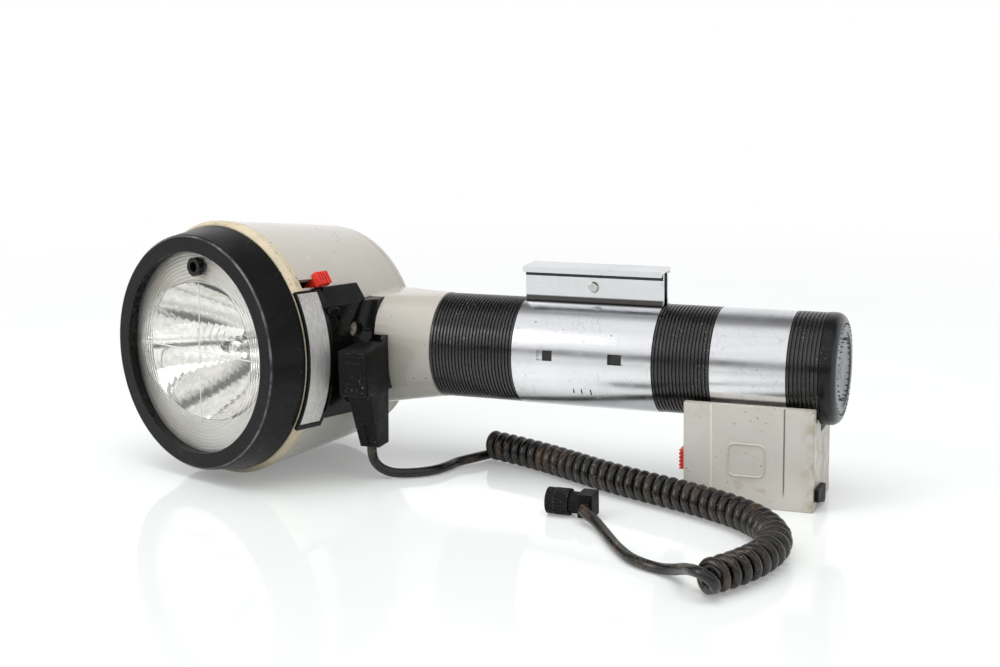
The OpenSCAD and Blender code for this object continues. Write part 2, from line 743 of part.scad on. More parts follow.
module clamp_nut() {
  color(metal) at_handle() translate([band_x + band_len / 2, flange_w / 2 + 0.02, screw_z])
    rotate([-90, 0, 0]) difference() {
      cylinder(r = screw_head_r + 0.6, h = 2.2, $fn = 6);
      translate([0, 0, -1]) cylinder(r = clamp_screw_r + run_fit, h = 5, $fn = small_fn);
    }
}

module rear_band() {
  color(metal) at_handle() difference() {
    tube_piece(grip_r - 0.1, tube_r, rear_band_x, rear_band_len);
    for (x = contact_x) translate([x, pack_mid_y, -grip_r - 2])
      cylinder(r = contact_r + 1, h = 6, $fn = small_fn);
  }
}

cap_round = 4;
module end_cap() {
  color(rubber) at_handle() about_handle() polygon(concat(
    [[0, cap_x - 7], [tube_inner_r - fit, cap_x - 7], [tube_inner_r - fit, cap_x], [grip_r + 0.2, cap_x]],
    [for (a = [0:15:90]) [grip_r + 0.2 - cap_round * (1 - cos(a)), handle_end - cap_round * (1 - sin(a))]],
    [[15.4, handle_end], [15, handle_end - 0.4], [0, handle_end - 0.4]]));
}

capacitor_r = 17;
capacitor_x0 = 6;
capacitor_x1 = 112;
module main_capacitor() {
  color([0.2, 0.25, 0.5]) at_handle() about_handle() polygon([[0, capacitor_x0], [4, capacitor_x0],
    [4, capacitor_x0 - 6], [6, capacitor_x0 - 6], [6, capacitor_x0], [capacitor_r - 1.5, capacitor_x0],
    [capacitor_r, capacitor_x0 + 1.5], [capacitor_r, capacitor_x1], [0, capacitor_x1]]);
}

module capacitor_rings() {
  color(rubber) at_handle() for (x = [capacitor_x0 + 8, capacitor_x1 - 14])
    tube_piece(tube_inner_r - run_fit, capacitor_r + run_fit, x, 6);
}

// The pack hangs from a T-shaped rail under the rear band and feeds the handle through two contacts
pack_mid_y = 0;
contact_r = 1.5;
contact_x = [rear_band_x + 8, rear_band_x + 22];
rail_x0 = rear_band_x + 1;
rail_x1 = rear_band_x + rear_band_len - 1;
rail_low = -grip_r - 6;
rail_neck = 9;
rail_foot = 14;
module contact_block() {
  color(black) at_handle() {
    intersection() {
      translate([rear_band_x + 3, -8, -tube_inner_r]) cube([24, 16, 7]);
      translate([rear_band_x, 0, 0]) rotate([0, 90, 0])
        cylinder(r = tube_inner_r - run_fit, h = 40, $fn = round_fn);
    }
    for (x = contact_x) translate([x, pack_mid_y, rail_low + 0.6])
      cylinder(r = contact_r, h = -tube_inner_r - rail_low + 2, $fn = small_fn);
  }
}

module pack_rail() {
  color(black) at_handle() difference() {
    union() {
      translate([rail_x0, -rail_neck / 2, rail_low]) cube([rail_x1 - rail_x0, rail_neck, 10]);
      translate([rail_x0, -rail_foot / 2, rail_low]) cube([rail_x1 - rail_x0, rail_foot, 2.6]);
    }
    translate([rail_x0 - 1, 0, 0]) rotate([0, 90, 0]) cylinder(r = grip_r - 0.1, h = 60, $fn = round_fn);
    for (x = contact_x) translate([x, pack_mid_y, rail_low - 1])
      cylinder(r = contact_r + run_fit, h = 20, $fn = small_fn);
  }
}

// Outer block of the pack, cut to clear the round handle, and the T slot for the rail
pack_x1 = pack_start + pack_len;
pack_gap = 0.6;
pack_top = axis_h - grip_r - 2 * pack_gap;
pack_split = -5;
slot_gap = 0.3;
module pack_block() {
  difference() {
    union() {
      translate([pack_start, -pack_front, 0]) cube([pack_len, 3.4, pack_h]);
      translate([pack_start, -pack_front, 0]) cube([pack_len, pack_front - 10, 36]);
      translate([pack_start + 0.01, -pack_front + 2, 0])
        cube([pack_len - 0.02, pack_front + pack_rear - 2, pack_top]);
    }
    translate([pack_start - 1, 0, axis_h]) rotate([0, 90, 0])
      cylinder(r = grip_r + pack_gap, h = pack_len + 2, $fn = round_fn);
    translate([pack_start - 1, -rail_neck / 2 - slot_gap, axis_h + rail_low])
      cube([rail_x1 - pack_start + 1.6, rail_neck + 2 * slot_gap, 12]);
    translate([pack_start - 1, -rail_foot / 2 - slot_gap, axis_h + rail_low - slot_gap])
      cube([rail_x1 - pack_start + 1.6, rail_foot + 2 * slot_gap, 2.6 + 2 * slot_gap]);
  }
}

cell_r = 6.4;
cell_z = pack_t + cell_r + 0.2;
module pack_hollow() {
  translate([pack_start + pack_t, -pack_front + 2.6, pack_t])
    cube([pack_len - 2 * pack_t, pack_front + pack_rear - 2.6 - pack_t, 2 * cell_r + 1]);
  translate([pack_start - 1, release_y - release_w / 2 - 0.3, release_z - release_h / 2 - 0.3])
    cube([6, release_w + 0.6, release_h + 0.6]);
  translate([pack_start + pack_t, release_y - release_w / 2 - 1.4, pack_t + 1])
    cube([5, release_w + 2.8, release_z + release_h / 2 + 1.4 - pack_t - 1]);
}

module pack_front_shell() {
  color(pack_grey) at_table() difference() {
    intersection() {
      pack_block();
      translate([pack_start - 1, -pack_front - 1, -1])
        cube([pack_len + 2, pack_front + 1 + pack_split, pack_h + 2]);
    }
    pack_hollow();
  }
}

module pack_rear_shell() {
  color(pack_grey) at_table() difference() {
    intersection() {
      pack_block();
      translate([pack_start - 1, pack_split + 0.02, -1])
        cube([pack_len + 2, pack_rear - pack_split + 1, pack_h + 2]);
    }
    pack_hollow();
    pack_contact_places(0.02);
  }
}

module pack_foot() {
  color(rubber) at_table() translate([pack_x1 + 0.02, 0, 0]) rotate([90, 0, 90]) linear_extrude(1.8)
    polygon([[-22.4, 4.2], [-8.4, 0.4], [-7, 1.6], [-7, 7.4], [-8.2, 8.2], [-22.4, 9.4]]);
}

module battery_cells() {
  color([0.75, 0.55, 0.15]) at_table() for (y = [-pack_front + 2.7 + cell_r, -pack_front + 2.9 + 3 * cell_r])
    translate([pack_start + pack_t + 6, y, cell_z]) rotate([0, 90, 0]) {
      cylinder(r = cell_r, h = pack_len - 2 * pack_t - 8, $fn = small_fn);
      cylinder(r = 2.6, h = pack_len - 2 * pack_t - 6.2, $fn = small_fn);
    }
}

module pack_contact_places(gap) {
  for (x = contact_x) translate([x, pack_mid_y, 2 * cell_r + pack_t + 0.8])
    cylinder(r = 2.4 + gap, h = axis_h + rail_low - slot_gap - 2 * cell_r - pack_t - 0.7, $fn = small_fn);
}

module pack_contacts() {
  color(metal) at_table() pack_contact_places(0);
}

// Ribbed release button in the pack's end towards the head, with a leaf spring behind it
release_y = -14.5;
release_z = 15.8;
release_w = 8;
release_h = 8;
release_out = 3.4;
flange_x = pack_start + pack_t;
module release_button() {
  color(red) at_table() difference() {
    union() {
      translate([pack_start - release_out, release_y - release_w / 2, release_z - release_h / 2])
        cube([pack_t + release_out, release_w, release_h]);
      translate([flange_x, release_y - release_w / 2 - 1, release_z - release_h / 2 - 1])
        cube([1, release_w + 2, release_h + 2]);
    }
    for (i = [-2:2])
      translate([pack_start - release_out - 1, release_y - release_w, release_z + i * 1.6 - 0.4])
        cube([1.6, 2 * release_w, 0.8]);
  }
}

module release_leaf() {
  color(metal) at_table() translate([flange_x + 1 + release_travel + 0.3, release_y - 2, pack_t])
    cube([0.5, 4, release_z + 1]);
}

// Moulded plug with its tail, the two flat blades behind it and the cord's stretches
soft_edge = 1.4;
plug_back = -boss_front - 0.1;
plug_d = 20.4;
tail_low = [-25.6, -17];
tail_z = 15.6;
tail_d = 9.6;
module sync_plug() {
  color(black) at_handle() {
    hull() for (x = [-1, 1], z = [plug_z0, plug_z1])
      translate([plug_x + x * (plug_w / 2 - soft_edge), plug_back, z - sign(z) * soft_edge])
        rotate([90, 0, 0]) {
          cylinder(r = soft_edge, h = plug_d - 1, $fn = small_fn);
          cylinder(r = soft_edge - 0.8, h = plug_d, $fn = small_fn);
        }
    hull() {
      translate([plug_x - plug_w / 2 + 2, plug_back - plug_d + 4, plug_z0 + 1])
        cube([plug_w - 2.1, plug_d - 4, 1]);
      translate([tail_low[0], plug_back - tail_d, tail_z - axis_h])
        cube([tail_low[1] - tail_low[0], tail_d, 1]);
    }
  }
}

module plug_blades() {
  color(metal) at_handle() blade_pair(blade_w, blade_t, plug_back, plug_back + blade_len);
}

// Routes of the cord, along its middle, from the grip's start, the handle's axis and the surface
cord_r = cord_d / 2;
lead_route = [
  [-22.6, -34.6, 15.6], [-22.6, -34.6, 11.5], [-21.6, -34.2, 7.6], [-18.6, -33.2, 4.4], [-14, -31.4, 2.6],
  [-8, -28.6, 2.2], [-2.6, -25, 2.2], [1.2, -20, 2.2], [3.6, -13.6, 2.2], [5.2, -7, 2.2]
];
curl_axis = [
  [15, 8, 7], [31, 2.4, 6.8], [47, -4.4, 6.6], [62, -12.4, 6.6], [78, -21, 6.6], [95, -28.8, 6.6],
  [112, -36, 6.6], [128, -43.6, 6.6], [142, -52, 6.6], [153, -62.4, 6.6], [160, -74.6, 6.6],
  [161.6, -86, 6.6], [159.6, -97, 6.6], [156, -106.6, 6.6], [151.4, -115, 6.6], [146.4, -122.6, 6.6]
];
tail_route = [
  [150.9, -127, 6.3], [149.4, -128, 8.6], [146.4, -127.8, 10], [143.2, -125.6, 9.9], [140, -121.6, 8.6],
  [136.4, -115.8, 6.2], [131.6, -110.6, 3.6], [126, -107.4, 2.2], [119.6, -104.8, 2.2], [113, -100.4, 2.2],
  [107, -93.4, 2.2], [101, -85, 2.2], [95, -76, 2.4], [89, -68.4, 3.4], [84.4, -64.8, 4.6],
  [81.8, -62.2, 5.4], [81.6, -58.92, 5.4]
];

// Smooth curve through the points of a route, at u from 0 to the last point's number
function knot(r, i) = r[max(0, min(len(r) - 1, i))];
function curve(r, u) = let (i = min(floor(u), len(r) - 2), t = u - i,
  p0 = knot(r, i - 1), p1 = knot(r, i), p2 = knot(r, i + 1), p3 = knot(r, i + 2))
  p1 + t * ((p2 - p0) / 2
    + t * ((2 * p0 - 5 * p1 + 4 * p2 - p3) / 2 + t * (3 * p1 - p0 - 3 * p2 + p3) / 2));
function unit(v) = v / norm(v);

// Tube of flat sides along a list of centres, with a side direction at each centre
module sweep(c, side, r, sides) {
  n = len(c);
  dir = [for (i = [0:n - 1]) unit(c[min(n - 1, i + 1)] - c[max(0, i - 1)])];
  points = [for (i = [0:n - 1]) let (b = unit(cross(dir[i], side[i])), a = cross(b, dir[i]))
    for (k = [0:sides - 1]) c[i] + r * (cos(360 * k / sides) * a + sin(360 * k / sides) * b)];
  walls = [for (i = [0:n - 2], k = [0:sides - 1])
    let (m = (k + 1) % sides, p = i * sides, q = p + sides)
    each [[p + k, q + k, q + m], [p + k, q + m, p + m]]];
  ends = [for (k = [1:sides - 2]) each [[0, k, k + 1],
    [(n - 1) * sides, (n - 1) * sides + k + 1, (n - 1) * sides + k]]];
  polyhedron(points, concat(walls, ends));
}

// The curls: the turn grows with the length along the axis, and is wider where the axis bends
wind_r = curl_d / 2 - cord_r;
samples = 280;
axis_u = [for (i = [0:samples]) i * (len(curl_axis) - 1) / samples];
axis_p = [for (u = axis_u) curve(curl_axis, u)];
axis_step = [for (i = [0:samples - 1]) norm(axis_p[i + 1] - axis_p[i])];
function bend(i) = let (j = max(8, min(samples - 8, i)), a = axis_p[j] - axis_p[j - 8],
  b = axis_p[j + 8] - axis_p[j]) norm(unit(b) - unit(a)) / ((norm(a) + norm(b)) / 2);
wind_pitch = cord_d + curl_gap + 0.1;
function turn_step(i) = 360 * axis_step[i] * (1 - wind_r * bend(i)) / wind_pitch;
axis_turn = [for (i = 0, a = 0; i <= samples; a = a + (i < samples ? turn_step(i) : 0), i = i + 1) a];
turn_table = [for (i = [0:samples]) [axis_turn[i], axis_u[i]]];
curl_count = floor(axis_turn[samples] / 360);
rings_per_curl = 8;
wind_start = 270;
curl_steps = curl_count * rings_per_curl;
function axis_dir(u) = unit(curve(curl_axis, u + 0.02) - curve(curl_axis, u - 0.02));
function wind_dir(u, a) = let (t = axis_dir(u), n = unit(cross([0, 0, 1], t)))
  cos(a) * n + sin(a) * cross(t, n);
function wind_u(i) = lookup(i * 360 / rings_per_curl, turn_table);
function wind_a(i) = wind_start + i * 360 / rings_per_curl;
wind_c = [for (i = [0:curl_steps])
  curve(curl_axis, wind_u(i)) + wind_r * wind_dir(wind_u(i), wind_a(i))];
wind_side = [for (i = [0:curl_steps]) wind_dir(wind_u(i), wind_a(i))];
// A turn climbs by one pitch while it goes once round, which gives the slope of its direction
wind_slope = wind_pitch / (2 * PI * wind_r);
function wind_tangent(i) = unit(wind_dir(wind_u(i), wind_a(i) + 90) + wind_slope * axis_dir(wind_u(i)));
start_dir = wind_tangent(0);
end_dir = wind_tangent(curl_steps + 0.5);
end_run = cord_d * 1.1;
curl_c = concat([wind_c[0] - start_dir * end_run], wind_c, [wind_c[curl_steps] + end_dir * end_run]);
curl_side = concat([wind_side[0]], wind_side, [wind_side[curl_steps]]);
// Least gap of the winding to itself, between its points and those of the turns beside them
least_gap = min([for (i = [0:curl_steps - 5], j = [i + 5:min(i + 12, curl_steps)])
  norm(wind_c[i] - wind_c[j])]) - cord_d;
echo(curl_count = curl_count, least_gap = least_gap);

module cord_curls() {
  color(rubber) at_table() sweep(curl_c, curl_side, cord_r, 6);
}

lead_c = concat(lead_route, [curl_c[0] - start_dir * cord_d, curl_c[0]]);
module cord_lead() {
  color(rubber) at_table() sweep(lead_c, [for (p = lead_c) [1, -1, 1]], cord_r, 8);
}

tail_c = concat([curl_c[len(curl_c) - 1], curl_c[len(curl_c) - 1] + end_dir], tail_route);
module cord_tail() {
  color(rubber) at_table() sweep(tail_c, [for (p = tail_c) [0, 0, 1]], cord_r, 8);
}

// Coaxial tip connector lying on the surface with its contact facing -X
tip_x = 65;
tip_y = -54.6;
tip_r = 5.4;
module tip_body() {
  color(black) at_table() translate([tip_x, tip_y, tip_r]) {
    rotate([0, 90, 0]) translate([0, 0, 9.6]) cylinder(r = 4.4, h = 4.4, $fn = small_fn);
    translate([13.5, -4.3, -4.8]) cube([6.2, 8.4, 9.6]);
    rotate([0, 90, 0]) translate([0, 0, 3.2]) cylinder(r = 3.4, h = 8, $fn = small_fn);
  }
}

knurl_count = 24;
module tip_ring() {
  color(black) at_table() translate([tip_x, tip_y, tip_r]) rotate([0, 90, 0]) difference() {
    union() {
      translate([0, 0, 3.4]) cylinder(r = tip_r, h = 6, $fn = round_fn);
      translate([0, 0, 0]) cylinder(r = tip_r - 0.1, h = 3.2, $fn = round_fn);
      cylinder(r = tip_r - 0.7, h = 4, $fn = round_fn);
    }
    translate([0, 0, -1]) cylinder(r = 3.4 + run_fit, h = 12, $fn = small_fn);
    for (i = [0:knurl_count - 1]) rotate([0, 0, i * 360 / knurl_count])
      translate([tip_r + 0.25, 0, 3.8]) cylinder(r = 0.5, h = 5.2, $fn = 16);
  }
}

module tip_contact() {
  color([0.75, 0.62, 0.3]) at_table() translate([tip_x, tip_y, tip_r]) rotate([0, 90, 0]) {
    difference() {
      translate([0, 0, 0.4]) cylinder(r = 2.2, h = 2.8, $fn = small_fn);
      translate([0, 0, -1]) cylinder(r = 1.5, h = 3.6, $fn = small_fn);
    }
    translate([0, 0, 0.9]) cylinder(r = 0.6, h = 2.3, $fn = small_fn);
  }
}

head_housing();
housing_rim();
bezel();
front_lens();
reflector();
flash_tube();
trigger_bands();
tube_base();
tube_socket();
sensor_tube();
photocell();
rear_cover();
cover_screws();
circuit_board();
transformer();
trigger_coil();
quench_tube();
calculator_plate();
calculator_dial();
dial_pivot();
ready_lamp();
control_panel();
label_plate();
power_switch();
switch_body();
test_button();
button_contact();
accessory_jack();
sync_socket();
handle_tube();
grip_1();
grip_2();
grip_3();
clamp_band();
clamp_screw();
clamp_nut();
rear_band();
end_cap();
main_capacitor();
capacitor_rings();
contact_block();
pack_rail();
pack_front_shell();
pack_rear_shell();
pack_foot();
battery_cells();
pack_contacts();
release_button();
release_leaf();
sync_plug();
plug_blades();
cord_lead();
cord_curls();
cord_tail();
tip_body();
tip_ring();
tip_contact();
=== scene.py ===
"""Finish of a handle-mount camera flash: its surfaces, small parts, curly cord, lamps and camera.

Sizes in shaders and properties are in metres. Names that end in _MM, and the points that
make meshes, are in millimetres in one of the flash's own frames.
"""

import json
import math

import bmesh
import bpy
import numpy as np
from mathutils import Matrix, Vector


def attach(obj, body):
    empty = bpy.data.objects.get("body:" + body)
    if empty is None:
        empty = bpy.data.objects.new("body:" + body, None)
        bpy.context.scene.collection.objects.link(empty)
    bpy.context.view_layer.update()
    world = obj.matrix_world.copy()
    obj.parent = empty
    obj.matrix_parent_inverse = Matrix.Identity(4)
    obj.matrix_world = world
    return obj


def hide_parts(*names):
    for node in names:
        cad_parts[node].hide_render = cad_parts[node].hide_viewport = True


bl_info = {
    "name": "Camera Flash Finish",
    "version": (1, 0, 0),
    "blender": (4, 5, 0),
    "location": "3D Viewport > Sidebar > Flash",
    "description": "Surfaces, small parts, cord and studio for a camera flash",
    "category": "Object",
}

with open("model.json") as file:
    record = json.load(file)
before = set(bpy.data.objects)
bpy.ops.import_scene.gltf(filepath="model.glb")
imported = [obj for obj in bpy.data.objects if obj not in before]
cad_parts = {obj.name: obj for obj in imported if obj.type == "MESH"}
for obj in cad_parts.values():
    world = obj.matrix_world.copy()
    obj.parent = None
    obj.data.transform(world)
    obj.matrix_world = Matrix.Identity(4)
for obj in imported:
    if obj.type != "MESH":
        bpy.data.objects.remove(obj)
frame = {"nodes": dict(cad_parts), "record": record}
bpy.context.view_layer.update()

MM = 0.001
# Where the flash's own frames stand in the shared one
ORIGIN_MM = (-14.6361, 15.8910)
AXIS_HEIGHT_MM = 53.5
HEAD_TURN = math.radians(18.5)
HEAD_LIFT = math.radians(2.9)
HEAD_CENTRE_MM = (ORIGIN_MM[0] - 75.0, ORIGIN_MM[1], 52.9639)
HEAD_FRAME = (
    Matrix.Translation(Vector(HEAD_CENTRE_MM) * MM)
    @ Matrix.Rotation(-HEAD_TURN, 4, "Z")
    @ Matrix.Rotation(math.radians(90) - HEAD_LIFT, 4, "X")
)
HANDLE_FRAME = Matrix.Translation(Vector((*ORIGIN_MM, AXIS_HEIGHT_MM)) * MM)
TABLE_FRAME = Matrix.Translation(Vector((*ORIGIN_MM, 0)) * MM)
OWN_FRAME = Matrix.Identity(4)

# The lens's rings lie between these radii
LENS_INNER_MM, LENS_OUTER_MM = 32.3, 42.6
# The bowl's opening is an oval: how far the round one is stretched across and up, and how far
# out from the middle the stretch reaches
BOWL_OVAL = (1.29, 0.94)
BOWL_EDGE = 0.0326
# Radius and height of the outer edge of the bezel's front
BEZEL_EDGE = 0.04995
BEZEL_FRONT = (0.0606, 0.0612)
# Where the grips' grooves end and their ribs begin, from the handle's axis
GROOVE_TOP = (0.0217, 0.0224)
CAP_FACE = (0.1696, 0.1704)
# The pack's front face, its two seams, painted as a highlight and as a shadow line, and its right end
PACK_FRONT = (-0.0236, -0.0232)
HIGHLIGHT_SEAM, SHADOW_SEAM = 0.1233, 0.1527
PACK_RIGHT = (0.1585, 0.1640)
# Where the rail's flanges rise from the band, which is painted dark there as shade: half their breadth, foot, top
# and right end
ROOT_SHADE_HALF, ROOT_SHADE_END = (0.0050, 0.0060), (0.0972, 0.0985)
ROOT_SHADE_FOOT, ROOT_SHADE_TOP = (0.018, 0.019), (0.0243, 0.0249)
# The bowl's flutes, in radians a metre, where they fade out, and where the brim begins
FLUTES = 1150.0
FLUTES_LEFT, FLUTES_HALF, FLUTES_OUTER = (0.006, 0.010), (0.015, 0.019), (0.0300, 0.0310)
BOWL_BRIM = (0.0314, 0.0318)
# Tracks of the light cell, in radians a metre
CELL_TRACKS = 9000.0


# Shader building

class Net:
    """Adds nodes to one tree, linking sockets and setting plain values."""

    def __init__(self, tree):
        self.tree = tree

    def add(self, kind, inputs=None, **settings):
        node = self.tree.nodes.new(kind)
        for key, value in settings.items():
            setattr(node, key, value)
        for key, value in (inputs or {}).items():
            self.put(node.inputs[key], value)
        return node

    def put(self, socket, value):
        if isinstance(value, bpy.types.NodeSocket):
            self.tree.links.new(value, socket)
        elif socket.type == "RGBA" and len(value) == 3:
            socket.default_value = (*value, 1.0)
        else:
            socket.default_value = value

    def math(self, operation, a, b=0.0):
        node = self.add("ShaderNodeMath", operation=operation)
        for socket, value in zip(node.inputs, (a, b)):
            self.put(socket, value)
        return node.outputs[0]

    def times(self, product, *factors):
        for factor in factors:
            product = self.math("MULTIPLY", product, factor)
        return product

    def plus(self, a, b):
        return self.math("ADD", a, b)

    def minus(self, a, b):
        return self.math("SUBTRACT", a, b)

    def length(self, x, y):
        return self.math("SQRT", self.plus(self.times(x, x), self.times(y, y)))

    def vector(self, operation, a, b=(0, 0, 0), output=0):
        node = self.add("ShaderNodeVectorMath", operation=operation)
        self.put(node.inputs[0], a)
        self.put(node.inputs[1], b)
        return node.outputs[output]

    def split(self, vector):
        return self.add("ShaderNodeSeparateXYZ", {"Vector": vector}).outputs

    def mix(self, share, a, b):
        node = self.add("ShaderNodeMix", data_type="RGBA")
        # Chosen by number, because the node's number and colour sockets share their names
        for index, value in ((0, share), (6, a), (7, b)):
            self.put(node.inputs[index], value)
        return node.outputs[2]

    def span(self, value, low, high, to_low=0.0, to_high=1.0, kind="LINEAR"):
        """Value rescaled from low and high to the other two, and held there beyond them."""
        node = self.add("ShaderNodeMapRange", interpolation_type=kind)
        for socket, v in zip(node.inputs, (value, low, high, to_low, to_high)):
            self.put(socket, v)
        return node.outputs[0]

    def below(self, value, low, high, floor=0.0):
        """One under low, falling to the floor at high."""
        return self.span(value, low, high, 1.0, floor)

    def near(self, value, middle, full, gone):
        """One within a distance of the middle, falling to nothing further out."""
        return self.below(self.math("ABSOLUTE", self.minus(value, middle)), full, gone)

    def noise(self, vector, scale, detail=4.0, rough=0.55):
        return self.add("ShaderNodeTexNoise", {
            "Vector": vector, "Scale": scale, "Detail": detail, "Roughness": rough}).outputs[0]

    def patches(self, vector, scale, detail, rough, low, high, to_low=0.0, to_high=1.0):
        """Noise drawn out to patches, clear under low and full over high."""
        return self.span(self.noise(vector, scale, detail, rough), low, high, to_low, to_high)

    def bump(self, height, distance, strength=1.0, normal=None):
        inputs = {"Height": height, "Distance": distance, "Strength": strength}
        if normal is not None:
            inputs["Normal"] = normal
        return self.add("ShaderNodeBump", inputs).outputs[0]

    def mapped(self, vector, location=(0, 0, 0), rotation=(0, 0, 0), scale=(1, 1, 1)):
        return self.add("ShaderNodeMapping", {
            "Vector": vector, "Location": location, "Rotation": rotation, "Scale": scale}).outputs[0]


def shader_group(name, inputs, outputs):
    """A new group with named inputs and outputs: its tree, builder, given and wanted sockets."""
    tree = bpy.data.node_groups.new(name, "ShaderNodeTree")
    kinds = {"F": "NodeSocketFloat", "V": "NodeSocketVector"}
    for key, kind, default in [("Vector", "V", None), *inputs]:
        socket = tree.interface.new_socket(key, in_out="INPUT", socket_type=kinds[kind])
        if default is not None:
            socket.default_value = default
    for key, kind in outputs:
        tree.interface.new_socket(key, in_out="OUTPUT", socket_type=kinds[kind])
    net = Net(tree)
    return tree, net, net.add("NodeGroupInput").outputs, net.add("NodeGroupOutput").inputs


def build_edge_wear():
    """Mask of the rubbed edges: where a rounded normal leaves the true one, broken by noise."""
    tree, net, given, out = shader_group(
        "edge_wear", [("Radius", "F", 0.0006), ("Amount", "F", 1.0)], [("Mask", "F"), ("Normal", "V")])
    rounded = net.add("ShaderNodeBevel", {"Radius": given["Radius"]}, samples=4).outputs[0]
    true = net.add("ShaderNodeNewGeometry").outputs["Normal"]
    dot = net.vector("DOT_PRODUCT", rounded, true, output=1)
    edge = net.span(net.minus(1.0, dot), 0.03, 0.22)
    patchy = net.patches(given["Vector"], 420.0, 5.0, 0.7, 0.38, 0.62)
    net.put(out["Mask"], net.times(edge, patchy, given["Amount"]))
    net.put(out["Normal"], rounded)
    return tree


def build_specks():
    """Small spots of dirt or dust that gather in some places more than in others."""
    tree, net, given, out = shader_group(
        "specks", [("Scale", "F", 900.0), ("Amount", "F", 0.5)], [("Mask", "F")])
    fine = net.noise(given["Vector"], given["Scale"], 2.0, 0.5)
    where = net.noise(given["Vector"], net.times(given["Scale"], 0.06), 3.0, 0.6)
    limit = net.minus(0.79, net.times(given["Amount"], 0.12))
    high = net.plus(fine, net.times(net.minus(where, 0.5), 0.45))
    net.put(out["Mask"], net.span(high, limit, net.plus(limit, 0.03)))
    return tree


def build_scratches():
    """Thin scratches in two slanting directions."""
    tree, net, given, out = shader_group(
        "scratches", [("Scale", "F", 60.0), ("Amount", "F", 0.5)], [("Mask", "F")])
    masks = []
    for turn in ((0.3, 0.5, 1.1), (1.2, -0.4, -0.6)):
        laid = net.mapped(given["Vector"], rotation=turn, scale=(1.0, 0.06, 1.0))
        wave = net.noise(laid, net.times(given["Scale"], 4.0), 2.0, 0.5)
        gate = net.patches(laid, given["Scale"], 1.0, 0.55, 0.56, 0.62)
        masks.append(net.times(net.near(wave, 0.5, 0.0, 0.012), gate))
    net.put(out["Mask"], net.times(net.math("MAXIMUM", *masks), given["Amount"]))
    return tree


def build_brushed():
    """Value of a brushed or drawn surface: noise drawn out along one direction."""
    tree, net, given, out = shader_group(
        "brushed", [("Stretch", "V", (1.0, 1.0, 1.0)), ("Scale", "F", 1500.0)], [("Value", "F")])
    laid = net.vector("MULTIPLY", given["Vector"], given["Stretch"])
    net.put(out["Value"], net.noise(laid, given["Scale"], 3.0, 0.6))
    return tree


def build_mottle():
    """Slow cloudy change and a fine grain, for moulded plastic and rubber."""
    tree, net, given, out = shader_group(
        "mottle", [("Cloud scale", "F", 25.0), ("Grain scale", "F", 2500.0)], [("Cloud", "F"), ("Grain", "F")])
    net.put(out["Cloud"], net.patches(given["Vector"], given["Cloud scale"], 5.0, 0.6, 0.3, 0.7))
    net.put(out["Grain"], net.noise(given["Vector"], given["Grain scale"], 2.0, 0.5))
    return tree


def build_radius():
    """Distance of a position from the Z axis."""
    tree, net, given, out = shader_group("radius", [], [("Radius", "F")])
    net.put(out["Radius"], net.length(*net.split(given["Vector"])[:2]))
    return tree


EFFECTS = {
    "edge_wear": build_edge_wear(), "specks": build_specks(), "scratches": build_scratches(),
    "brushed": build_brushed(), "mottle": build_mottle(), "radius": build_radius(),
}


class Surface:
    """A material in the making: its shader, its coordinates, and its colour and normal so far."""

    def __init__(self, name):
        self.material = bpy.data.materials.new(name)
        self.material.use_nodes = True
        self.net = Net(self.material.node_tree)
        self.shader = next(n for n in self.net.tree.nodes if n.type == "BSDF_PRINCIPLED")
        self.where = self.net.add("ShaderNodeTexCoord").outputs["Object"]
        self.base = self.normal = None

    def effect(self, key, vector, inputs=None):
        """The outputs of a shared effect laid on a vector."""
        node = self.net.add("ShaderNodeGroup", node_tree=EFFECTS[key])
        for name, value in {"Vector": vector, **(inputs or {})}.items():
            self.net.put(node.inputs[name], value)
        return node.outputs

    def set(self, **values):
        for key, value in values.items():
            self.net.put(self.shader.inputs[key.replace("_", " ")], value)

    def over(self, colour, *shares):
        """Lay a colour over the rest where the product of the shares is high."""
        self.base = self.net.mix(self.net.times(*shares), self.base, colour)
        return self

    def done(self):
        self.set(Base_Color=self.base, Normal=self.normal)
        return self.material


def into_head(made):
    """Object coordinates turned into the head's frame, whose Z is the lens axis."""
    back = HEAD_FRAME.inverted()
    return made.net.mapped(made.where, location=back.to_translation(), rotation=back.to_euler())


def into_handle(made):
    """Object coordinates moved so that the handle's axis is the X axis."""
    return made.net.mapped(made.where, location=-HANDLE_FRAME.to_translation())


def oval_radius(net, x, y):
    """Distance from the lens's middle, in which the bowl's oval edge counts as a circle."""
    return net.length(net.math("DIVIDE", x, BOWL_OVAL[0]), net.math("DIVIDE", y, BOWL_OVAL[1]))


